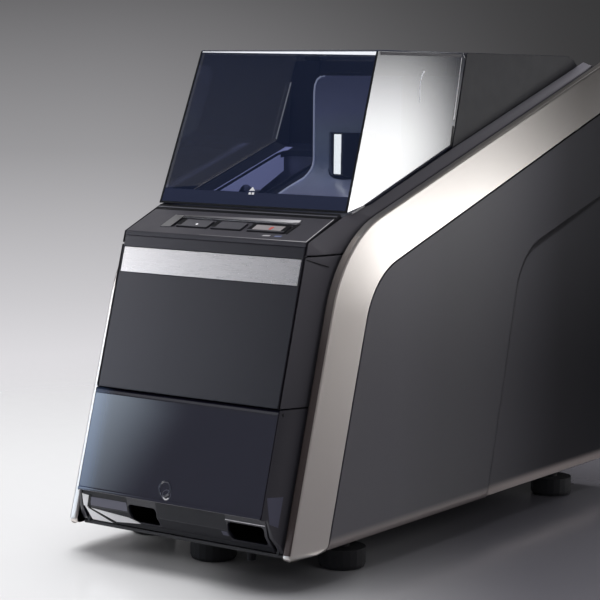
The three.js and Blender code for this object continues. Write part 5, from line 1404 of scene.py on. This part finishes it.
@dataclass
class Keys:
    """Three keys in their tray on the control panel."""

    nodes: tuple[str, ...] = ("key_start", "key_mode", "key_stop")
    cap: Moulded = Moulded("key_cap_pale", (0.2, 0.185, 0.19), 0.4)
    red: Moulded = Moulded("key_red", (0.4, 0.06, 0.05), 0.45)
    silver: Brushed = Brushed("tray_silver", (0.36, 0.355, 0.37), Grain.ALONG_X, 0.4)
    # Painted sheen: dark on the left, light on the right.
    back: Graded = Graded(
        "tray_back_silver",
        "X",
        -0.06,
        0.086,
        (
            (0.0, (0.1, 0.098, 0.105)),
            (0.35, (0.2, 0.195, 0.21)),
            (0.65, (0.36, 0.35, 0.37)),
            (1.0, (0.75, 0.74, 0.76)),
        ),
        0.4,
        metallic=0.5,
    )
    rounding: float = 0.0005
    stripe: float = 0.006
    inset: float = 0.002
    back_inset: float = 0.0045
    cap_left: float = 0.0085
    cap_right: float = 0.0075
    cap_front: float = 0.0015
    cap_back: float = 0.0075
    shade_right: float = 0.007
    top_left: float = 0.008
    top_right: float = 0.0072
    top_height: float = 0.0028
    dot_centre: Plan = (-0.0408, 0.1042)
    dot_radius: float = 0.0015
    red_outline: Outline = (
        (0.0590, 0.1022), (0.0625, 0.1022), (0.0635, 0.1080), (0.0600, 0.1080),
    )
    tray_leg: Outline = (
        (-0.0857, 0.0945), (-0.0722, 0.0955), (-0.0722, 0.1195), (-0.0857, 0.1225),
    )
    tray_back: Outline = (
        (-0.0722, 0.1190), (0.0769, 0.1190), (0.0876, 0.1211), (0.0862, 0.1258),
        (-0.0722, 0.1222),
    )
    tray_shade: Outline = (
        (0.0843, 0.0975), (0.0886, 0.0955), (0.0905, 0.1190), (0.0871, 0.1164),
        (0.0843, 0.1140),
    )
    # Two small painted highlights on the panel's front strip, one white and one bluish.
    lamps: tuple[tuple[str, Moulded, float, float], ...] = (
        ("panel_glint_white", Moulded("glint_white", (0.3, 0.295, 0.31), 0.4), 0.0605, 0.0700),
        ("panel_glint_blue", Moulded("glint_blue", (0.12, 0.14, 0.24), 0.4), 0.0765, 0.0850),
    )
    glint_depths: tuple[float, ...] = (0.0885, 0.0890, 0.0916, 0.0911)
    glint_lean: float = 0.0006

    def build(self) -> None:
        """Builds the keys."""
        for node in self.nodes:
            refined(node, self.rounding, 3)
            self._stripe(node)
            LOG.info("key %s", node)
        self._marks()
        self._tray()

    def _lay(self, mark: Mark, node: str) -> None:
        """Lays a mark on top of a key or of the panel."""
        mark.lay(Facet.of_node(node, PANEL_AIM, 6.0), Grid.TOP, NODE_BODIES[node])

    def _span(self, node: str) -> tuple[float, float, float, float]:
        """Returns the left, front, right and back of a key, the last two as depths."""
        low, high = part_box(node)
        return low.x, low.y - FRONT, high.x, high.y - FRONT

    def _stripe(self, node: str) -> None:
        """Blackens the left end of a key."""
        left, front, _, back = self._span(node)
        left += self.inset
        outline = boxed(left, front + self.inset, left + self.stripe, back - self.back_inset)
        self._lay(Mark(f"{node}_stripe", GAP_AND_SHADOW, Slot.BLACK, outline), node)

    def _marks(self) -> None:
        """Lays the dot, the pale cap and the red mark."""
        dot = around(self.dot_centre, self.dot_radius, turns(12))
        self._lay(Mark("key_start_dot", PRINT_AND_GLINT, Slot.BRUSHED, dot), "key_start")
        left, front, right, back = self._span("key_stop")
        cap = boxed(
            left + self.cap_left,
            front + self.cap_front,
            right - self.cap_right,
            back - self.cap_back,
        )
        self._lay(Mark("key_stop_cap", self.cap, Slot.KEYS, cap, 0.0004), "key_stop")
        self._lay(Mark("key_stop_red", self.red, Slot.KEYS, self.red_outline, 0.0006), "key_stop")

    def _tray(self) -> None:
        """Widens the silver leg and edge of the tray, the edge with a painted sheen, and lays the
        shades and two painted highlights on the panel.
        """
        for name, finish, slot, outline, lift in (
            ("tray_leg", self.silver, Slot.BRUSHED, self.tray_leg, 0.0006),
            ("tray_back", self.back, Slot.BRUSHED, self.tray_back, 0.0011),
            ("tray_shade", GAP_AND_SHADOW, Slot.BLACK, self.tray_shade, 0.0004),
        ):
            self._lay(Mark(name, finish, slot, outline, lift), "control_panel")
        left, front, right, back = self._span("key_stop")
        front, back = front + self.inset, back - self.back_inset
        end = boxed(right - self.shade_right, front, right - self.inset, back)
        self._lay(Mark("key_stop_shade", GAP_AND_SHADOW, Slot.BLACK, end), "key_stop")
        top = boxed(left + self.top_left, back - self.top_height, right - self.top_right, back)
        self._lay(Mark("key_stop_top", GAP_AND_SHADOW, Slot.BLACK, top), "key_stop")
        # Lays the two painted highlights on the panel.
        depths, lean = self.glint_depths, self.glint_lean
        for name, finish, left, right in self.lamps:
            lens = tuple(zip((left, right, right + lean, left + lean), depths))
            self._lay(Mark(name, finish, Slot.KEYS, lens, THIN), "control_panel")


@dataclass
class PanelEdges:
    """Rail behind the control panel, painted highlights along its edges and on the hood's sills."""

    # Painted highlight along the panel's edges, brighter to the right.
    bright: Graded = Graded(
        "edge_bright",
        "X",
        -0.03,
        0.124,
        ((0.0, (0.1, 0.1, 0.11)), (0.6, (0.3, 0.29, 0.31)), (1.0, (0.62, 0.61, 0.63))),
        0.3,
        metallic=0.4,
    )
    rail: Moulded = Moulded("rail_grey", (0.05, 0.05, 0.06), 0.45, 0.1)
    edge_start: float = -0.02
    edge_back: float = 0.1335
    edge_inset: float = 0.0012
    edge_front: float = 0.0024
    edge_width: float = 0.0011
    rail_gap: float = 0.0002
    seam: Outline = ((0.0778, 0.3409), (0.1031, 0.3324))
    seam_aim: Point = (0.95, -0.3, 0.09)
    seam_width: float = 0.0010
    # Path of a bright bead on each side: a painted highlight on the sill under the hood.
    bar: tuple[Point, ...] = (
        (0.1312, 0.1560, 0.3862), (0.1311, 0.1640, 0.3882), (0.1306, 0.1730, 0.3907),
        (0.1301, 0.1815, 0.3930),
    )
    bar_radius: float = 0.0013

    def build(self) -> None:
        """Builds the edges."""
        panel = Facet.of_node("control_panel", PANEL_AIM, 6.0)
        low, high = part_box("control_panel")
        right, front = high.x - self.edge_inset, low.y - FRONT + self.edge_front
        for name, edge in (
            ("panel_front_edge", ((self.edge_start, front), (right, front))),
            ("panel_right_edge", ((right, front), (right, self.edge_back))),
        ):
            line = Mark(name, self.bright, Slot.BRUSHED, edge, THIN, self.edge_width)
            line.lay(panel, Grid.TOP, "machine")
        reach = high.x - self.rail_gap
        for name, finish, near, far, lift in (
            ("panel_groove_front", GAP_AND_SHADOW, 0.1338, 0.1368, 0.0003),
            ("panel_rail", self.rail, 0.1372, 0.1400, 0.0009),
            ("panel_groove_back", GAP_AND_SHADOW, 0.1404, 0.1448, 0.0003),
        ):
            strip = Mark(name, finish, Slot.BLACK, boxed(-reach, near, reach, far), lift)
            strip.lay(panel, Grid.TOP, "machine")
        for name, side in SIDES:
            x, y, z = self.seam_aim
            face = Facet.of_node("front_frame", (side * x, y, z), 6.0)
            line = Mark(f"frame_seam_{name}", GAP_AND_SHADOW, Slot.BLACK, self.seam, THIN, self.seam_width)
            line.lay(face, Grid.SIDE, "machine")
            # Painted highlight on the sill.
            path = [Vector((side * x, depth(back), z)) for x, back, z in self.bar]
            bar = Form().bead(path, self.bar_radius, (1, 0, 0))
            bar.done(f"hood_sill_glint_{name}", PALETTE.of(LIT_EDGE), "machine", Slot.BRUSHED)
        LOG.info("panel edges")


@dataclass
class Fixings:
    """Gussets beside the chamber and screws of the rear panel."""

    corners: tuple[Point, ...] = (
        (0.1222, 0.3955, 0.5277), (0.1228, 0.3640, 0.4505), (0.0943, 0.3500, 0.4465),
    )
    thickness: float = 0.0018
    screw: Outline = (
        (0.0, -0.0004), (0.0034, -0.0004), (0.0034, 0.0008), (0.0027, 0.0014), (0.0013, 0.0014),
        (0.0011, 0.0006), (0.0, 0.0006),
    )
    screw_sides: int = 20
    axis_gap: float = 0.0002
    inset: float = 0.009
    top_insets: float = 3.0

    def build(self) -> None:
        """Builds the gussets and the screws."""
        for name, side in SIDES:
            rings = [
                [(side * x, depth(back) + shift, z) for x, back, z in self.corners]
                for shift in (0.0, self.thickness)
            ]
            gusset = Form().loft(rings)
            gusset.done(f"gusset_{name}", PALETTE.of(GAP_AND_SHADOW), "machine", Slot.BLACK)
        rear = Facet.of_node("rear_panel", (0, 1, 0), 4.0)
        low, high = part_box("rear_panel")
        top = high.z - self.top_insets * self.inset
        heights = (low.z + self.inset, (low.z + high.z) / 2, top)
        profile = [(max(r, self.axis_gap), h) for r, h in self.screw]
        turn = rear.normal.to_track_quat("Z", "Y").to_matrix().to_4x4()
        for column, side in SIDES:
            for row, height in enumerate(heights):
                point = rear.at(Grid.FRONT, (side * (high.x - self.inset), height))
                place = Matrix.Translation(point) @ turn
                head = Form().revolve(profile, place, self.screw_sides)
                head.done(f"screw_{column}_{row}", PALETTE[Slot.STEEL], "machine", Slot.STEEL)
        LOG.info("fixings")


@dataclass
class Chin:
    """Facings and marks under the door, among them painted light and painted highlights."""

    facing: Moulded = Moulded("chin_facing", (0.006, 0.0065, 0.011), 0.6)
    # Bluish marks; the bar on the chin's left is painted light.
    bluish: Moulded = Moulded("chin_blue", (0.09, 0.09, 0.13), 0.35)

    upper_aim: Point = (0, -0.978, -0.208)
    lower_aim: Point = (0, -0.805, -0.593)
    cheek_aim: Point = (0.911, -0.397, 0.114)
    glint_low: Outline = (
        (-0.1262, 0.0545), (-0.1215, 0.0538), (-0.0923, 0.0369), (-0.1262, 0.0369),
    )
    lip_left: Outline = (
        (-0.1274, 0.069), (-0.1179, 0.068), (-0.1226, 0.0544), (-0.1279, 0.0548),
    )
    glint_left: Outline = (
        (-0.118, 0.0531), (-0.0661, 0.0484), (-0.0523, 0.0429), (-0.0893, 0.0394),
    )
    bend_high: Outline = ((-0.1154, 0.0687), (-0.1209, 0.054))
    bend_low: Outline = ((-0.1215, 0.0538), (-0.0923, 0.0369))
    cheek: Outline = (
        (0.0105, 0.0975), (0.0285, 0.0965), (0.0195, 0.0655), (0.0105, 0.0700),
    )
    facing_lift: float = THIN
    bar_lift: float = 0.0005
    glint_lift: float = 0.0006
    bend_lift: float = 0.0009
    bend_width: float = 0.0028
    cheek_lift: float = 0.0003

    def build(self) -> None:
        """Builds the chin."""
        upper = Facet.of_node("lower_bezel", self.upper_aim, 6.0)
        lower = Facet.of_node("lower_bezel", self.lower_aim, 6.0)
        facing, bluish = self.facing, self.bluish
        for name, finish, face, edges in (
            ("facing_left", facing, upper, (-0.1262, 0.0556, -0.0632, 0.0732)),
            ("facing_middle", facing, upper, (-0.0215, 0.0556, 0.0735, 0.0732)),
            ("facing_low", facing, lower, (-0.1262, 0.0368, 0.1262, 0.0425)),
            ("facing_low_middle", facing, lower, (-0.0215, 0.0430, 0.0735, 0.0545)),
            ("facing_low_left", facing, lower, (-0.1262, 0.0430, -0.0632, 0.0545)),
            ("bar", bluish, upper, (-0.117, 0.0565, -0.0635, 0.0668)),
            ("tab", bluish, lower, (0.0655, 0.0485, 0.0735, 0.0535)),
            ("line", LIT_EDGE, upper, (0.0735, 0.0672, 0.1255, 0.0680)),
        ):
            lift = self.facing_lift if finish is facing else self.bar_lift
            mark = Mark(f"chin_{name}", finish, Slot.BLACK, boxed(*edges), lift)
            mark.lay(face, Grid.FRONT, "machine")
        # Painted highlights on the chin's left end, and its pale lip.
        for name, face, outline in (
            ("glint_low", lower, self.glint_low),
            ("lip_left", upper, self.lip_left),
            ("glint_left", lower, self.glint_left),
        ):
            mark = Mark(f"chin_{name}", PRINT_AND_GLINT, Slot.BRUSHED, outline, self.glint_lift)
            mark.lay(face, Grid.FRONT, "machine")
        for name, face, path in (
            ("bend_high", upper, self.bend_high),
            ("bend_low", lower, self.bend_low),
        ):
            mark = Mark(f"chin_{name}", GAP_AND_SHADOW, Slot.BLACK, path, self.bend_lift, self.bend_width)
            mark.lay(face, Grid.FRONT, "machine")
        for name, side in SIDES:
            x, y, z = self.cheek_aim
            face = Facet.of_node("lower_bezel", (side * x, y, z), 4.0)
            patch = Mark(f"cheek_patch_{name}", bluish, Slot.BLACK, self.cheek, self.cheek_lift)
            patch.lay(face, Grid.SIDE, "machine")
        LOG.info("chin")


def finish_rest() -> None:
    """Gives every node that is still shown its finish."""
    for node, obj in frame["nodes"].items():
        if obj.hide_render:
            continue
        obj.data.materials.clear()
        obj.data.materials.append(PALETTE[NODE_SLOTS[node]])
        LOG.info("finish %s", node)


# Studio


@dataclass
class Card:
    """Soft white card that only shows in reflections."""

    name: str
    centre: Point
    facing: Point
    size: Plan
    strength: float
    fade: Plan = (0.3, 0.3)
    roll: float = 0.0
    tint: Colour = (1.0, 1.0, 1.0)

    def build(self) -> None:
        """Hangs the card."""
        material, graph = new_material(self.name)
        width, height = self.size[0] / 2, self.size[1] / 2
        across = (abs(graph.place("X")) / width).step(1.0, 1 - self.fade[0])
        up = (abs(graph.place("Y")) / height).step(1.0, 1 - self.fade[1])
        glossy = Signal(graph, graph.node("ShaderNodeLightPath").outputs["Is Glossy Ray"])
        level = across * up * glossy * self.strength
        light = graph.node("ShaderNodeEmission", None, {"Color": self.tint, "Strength": level})
        clear = graph.node("ShaderNodeBsdfTransparent")
        shaders = {0: light.outputs[0], 1: clear.outputs[0]}
        graph.show(graph.node("ShaderNodeAddShader", None, shaders))
        material.cycles.emission_sampling = "NONE"
        mesh = bmesh.new()
        corners = boxed(-width, -height, width, height)
        mesh.faces.new([mesh.verts.new((*corner, 0)) for corner in corners])
        turn = Vector(self.facing).to_track_quat("Z", "Y").to_matrix().to_4x4()
        turn = turn @ Matrix.Rotation(math.radians(self.roll), 4, "Z")
        card = staged(self.name, mesh, material, Matrix.Translation(self.centre) @ turn)
        card.visible_camera = card.visible_shadow = card.visible_diffuse = False


@dataclass
class Lamp:
    """Square soft lamp that doesn't show in reflections."""

    name: str
    place: Point
    aim: Point
    size: float
    power: float
    tint: Colour = (1.0, 1.0, 1.0)

    def build(self) -> None:
        """Hangs the lamp."""
        data = bpy.data.lights.new(self.name, "AREA")
        data.size = self.size
        data.energy = self.power
        data.color = self.tint
        lamp = bpy.data.objects.new(self.name, data)
        way = Vector(self.aim) - Vector(self.place)
        turn = way.to_track_quat("-Z", "Y").to_matrix().to_4x4()
        lamp.matrix_world = Matrix.Translation(self.place) @ turn
        lamp.visible_glossy = False
        bpy.context.scene.collection.objects.link(lamp)


def staged(
    name: str, mesh: bmesh.types.BMesh, material: bpy.types.Material, place: Matrix
) -> bpy.types.Object:
    """Makes an object that isn't part of the machine.

    Args:
        name: The object's name.
        mesh: Its mesh, which is freed.
        material: Its material.
        place: Where it stands.

    Returns:
        The object.
    """
    data = bpy.data.meshes.new(name)
    mesh.to_mesh(data)
    mesh.free()
    data.materials.append(material)
    made = bpy.data.objects.new(name, data)
    made.matrix_world = place
    bpy.context.scene.collection.objects.link(made)
    return made


@dataclass
class Studio:
    """Floor, cards, lamps, backdrop and camera."""

    camera_place: Point = (1.2996, -1.9370, 0.530)
    camera_right: Point = (0.81415, 0.58057, 0.00986)
    camera_up: Point = (-0.07369, 0.08646, 0.99353)
    camera_back: Point = (0.57596, -0.80961, 0.11317)
    lens: float = 116.30
    floor_radius: float = 6.0
    # The floor's tone runs from pale on the left to dark on the right: painted light.
    floor_pale: Colour = (0.86, 0.86, 0.87)
    floor_dark: Colour = (0.15, 0.145, 0.165)
    floor_range: Plan = (-0.28, 0.2)
    floor_end: Plan = (0.6, 1.5)
    # A painted shadow and reflection on the floor under the machine's front.
    floor_shade: Plan = (-0.085, -0.31)
    floor_shade_size: Plan = (0.1, 0.13)
    floor_shade_colour: Colour = (0.05, 0.05, 0.06)
    floor_shade_share: float = 0.75
    room_right: Colour = (0.06, 0.062, 0.07)
    room_left: Colour = (0.16, 0.17, 0.2)
    ceiling: Colour = (0.03, 0.036, 0.055)
    wall: Colour = (0.2, 0.185, 0.19)
    light_left: Colour = (0.34, 0.34, 0.355)
    light_right: Colour = (0.08, 0.08, 0.085)
    lowest: float = -0.28
    highest: float = 0.12
    left_tones: Outline = (
        (-0.255, 0.80), (-0.214, 0.90), (-0.174, 0.86), (-0.113, 0.60), (-0.037, 0.32),
        (0.04, 0.145), (0.12, 0.09),
    )
    right_tones: Outline = (
        (-0.255, 0.12), (-0.174, 0.08), (-0.037, 0.045), (0.12, 0.034),
    )
    lights: tuple[Card | Lamp, ...] = (
        Card("card_bright", (1.2, 1.43, 0.42), (-1, 0, 0), (1.03, 0.72), 6.2, (0.8, 0.9)),
        Card("card_right", (1.23, 0.95, 0.62), (-1, 0, 0), (1.3, 0.9), 1.0, (0.5, 0.4)),
        Card("card_band", (1.19, 1.0, 0.48), (-1, 0, 0), (0.55, 0.4), 2.0, (0.4, 0.4)),
        Card("card_low", (1.26, 1.05, 0.1), (-1, 0, 0), (1.0, 0.5), 1.1, (0.5, 0.4)),
        Card(
            "card_edge",
            (-1.8, -1.6, 0.45),
            (0, 1, 0),
            (1.4, 0.88),
            3.5,
            (0.55, 0.25),
            17.0,
            (0.72, 0.85, 1.0),
        ),
        Card("card_strip", (-2.02, -1.66, 1.0), (0, 1, 0), (1.1, 0.4), 6.5, (0.25, 0.3)),
        Card("card_back", (0.3, 1.3, 1.45), (0, -1, -0.6), (0.6, 0.6), 1.6, (0.4, 0.4)),
        Card("card_front", (-1.1, -1.62, 1.0), (0, 1, 0), (1.2, 0.7), 0.3, (0.6, 0.4)),
        Card("card_top", (-1.0, 0.6, 1.6), (0.5, -0.4, -0.8), (1.3, 1.3), 0.7, (0.5, 0.5)),
        Lamp("overhead", (-0.5, 0.1, 1.9), (-0.2, 0, 0), 1.5, 50.0),
        Lamp("front", (-1.5, -1.3, 0.9), (0, 0, 0.25), 0.9, 7.0),
        Lamp("right", (1.3, -0.45, 0.7), (0, -0.2, 0.25), 0.7, 3.0),
    )

    def build(self) -> None:
        """Builds the studio."""
        self._camera()
        self._world()
        self._floor()
        for light in self.lights:
            light.build()
        LOG.info("studio")

    def _camera(self) -> None:
        """Places the camera of the photograph."""
        data = bpy.data.cameras.new("camera")
        data.sensor_width = 36.0
        data.lens = self.lens
        camera = bpy.data.objects.new("camera", data)
        turn = Matrix((self.camera_right, self.camera_up, self.camera_back)).transposed()
        camera.matrix_world = Matrix.Translation(self.camera_place) @ turn.to_4x4()
        bpy.context.scene.collection.objects.link(camera)
        bpy.context.scene.camera = camera

    def _ramp(self, graph: Graph, rise: Signal, tones: Sequence[Plan]) -> bpy.types.NodeSocket:
        """Returns a grey that changes with the height of a direction.

        Args:
            graph: The world's graph.
            rise: The height.
            tones: Heights with their greys.

        Returns:
            The colour.
        """
        span = self.highest - self.lowest
        stops = [((z - self.lowest) / span, (t, t * 0.985, t * 1.02)) for z, t in tones]
        place = (rise - self.lowest) / span
        return graph.node("ShaderNodeValToRGB", {"stops": stops}, {0: place}).outputs[0]

    def _world(self) -> None:
        """Lights the scene evenly and shows a grey gradient behind it."""
        world = bpy.data.worlds.new("studio")
        world.use_nodes = True
        bpy.context.scene.world = world
        graph = Graph(world.node_tree, "ShaderNodeOutputWorld")
        way = graph.node("ShaderNodeTexCoord").outputs["Generated"]
        split = graph.node("ShaderNodeSeparateXYZ", None, {0: way})
        rise = Signal(graph, split.outputs["Z"])
        side = Signal(graph, split.outputs["X"])
        away = Signal(graph, split.outputs["Y"])
        across = side * self.camera_right[0] + away * self.camera_right[1]
        ahead = away * self.camera_right[0] - side * self.camera_right[1]
        left = across.step(0.17, -0.11)
        sides = [self._ramp(graph, rise, tones) for tones in (self.right_tones, self.left_tones)]
        behind = graph.mix(left, *sides)
        room = graph.mix(across.step(0.1, -0.7), self.room_right, self.room_left)
        room = graph.mix(rise.step(0.3, 0.42), room, self.ceiling)
        seen = graph.mix(ahead.step(-0.1, 0.4), room, behind)
        wall = across.step(0.3, 0.8) * ahead.step(0.3, 0.0)
        seen = graph.mix(wall, seen, self.wall)
        path = graph.node("ShaderNodeLightPath").outputs
        rays = Signal(graph, path["Is Camera Ray"]) + Signal(graph, path["Is Glossy Ray"])
        ray = rays + Signal(graph, path["Is Transmission Ray"])
        light = graph.mix(across.step(-0.6, 0.6), self.light_left, self.light_right)
        shown = graph.mix(ray, light, seen)
        graph.show(graph.node("ShaderNodeBackground", None, {"Color": shown, "Strength": 1.0}))

    def _floor(self) -> None:
        """Lays a glossy floor, painted pale on the left and dark on the right, with a painted dark
        patch under the front, that fades out into the background.
        """
        material, graph = new_material("studio_floor")
        across = graph.place("X") * self.camera_right[0] + graph.place("Y") * self.camera_right[1]
        # Painted light: pale on the left, dark on the right.
        tone = graph.mix(across.step(*self.floor_range), self.floor_pale, self.floor_dark)
        ahead = graph.place("Y") * self.camera_right[0] - graph.place("X") * self.camera_right[1]
        # Painted shadow and reflection: darker in a patch under the front.
        wide, deep = self.floor_shade_size
        floor_shade = (((across - self.floor_shade[0]) / wide) ** 2 + ((ahead - self.floor_shade[1]) / deep) ** 2) ** 0.5
        tone = graph.mix(floor_shade.step(1.0, 0.2) * self.floor_shade_share, tone, self.floor_shade_colour)
        inputs = {"Base Color": tone, "Roughness": graph.noise(40.0, 2.0) * 0.04 + 0.16}
        shader = graph.node("ShaderNodeBsdfPrincipled", None, inputs)
        clear = graph.node("ShaderNodeBsdfTransparent")
        reach = (graph.place("X") ** 2 + graph.place("Y") ** 2) ** 0.5
        gone = reach.step(*self.floor_end)
        shaders = {0: gone, 1: shader.outputs[0], 2: clear.outputs[0]}
        graph.show(graph.node("ShaderNodeMixShader", None, shaders))
        mesh = bmesh.new()
        bmesh.ops.create_circle(mesh, cap_ends=True, radius=self.floor_radius, segments=96)
        staged("studio_floor", mesh, material, Matrix.Identity(4))


def main() -> None:
    """Builds the studio and the machine, in order."""
    logging.basicConfig(level=logging.INFO, format="%(name)s: %(message)s")
    bpy.context.scene.view_settings.view_transform = "Standard"
    for part in (Studio, Covers, Glazing, Inside, Keys, PanelEdges, Chin, Fixings):
        part().build()
    finish_rest()


if __name__ == "__main__":
    main()
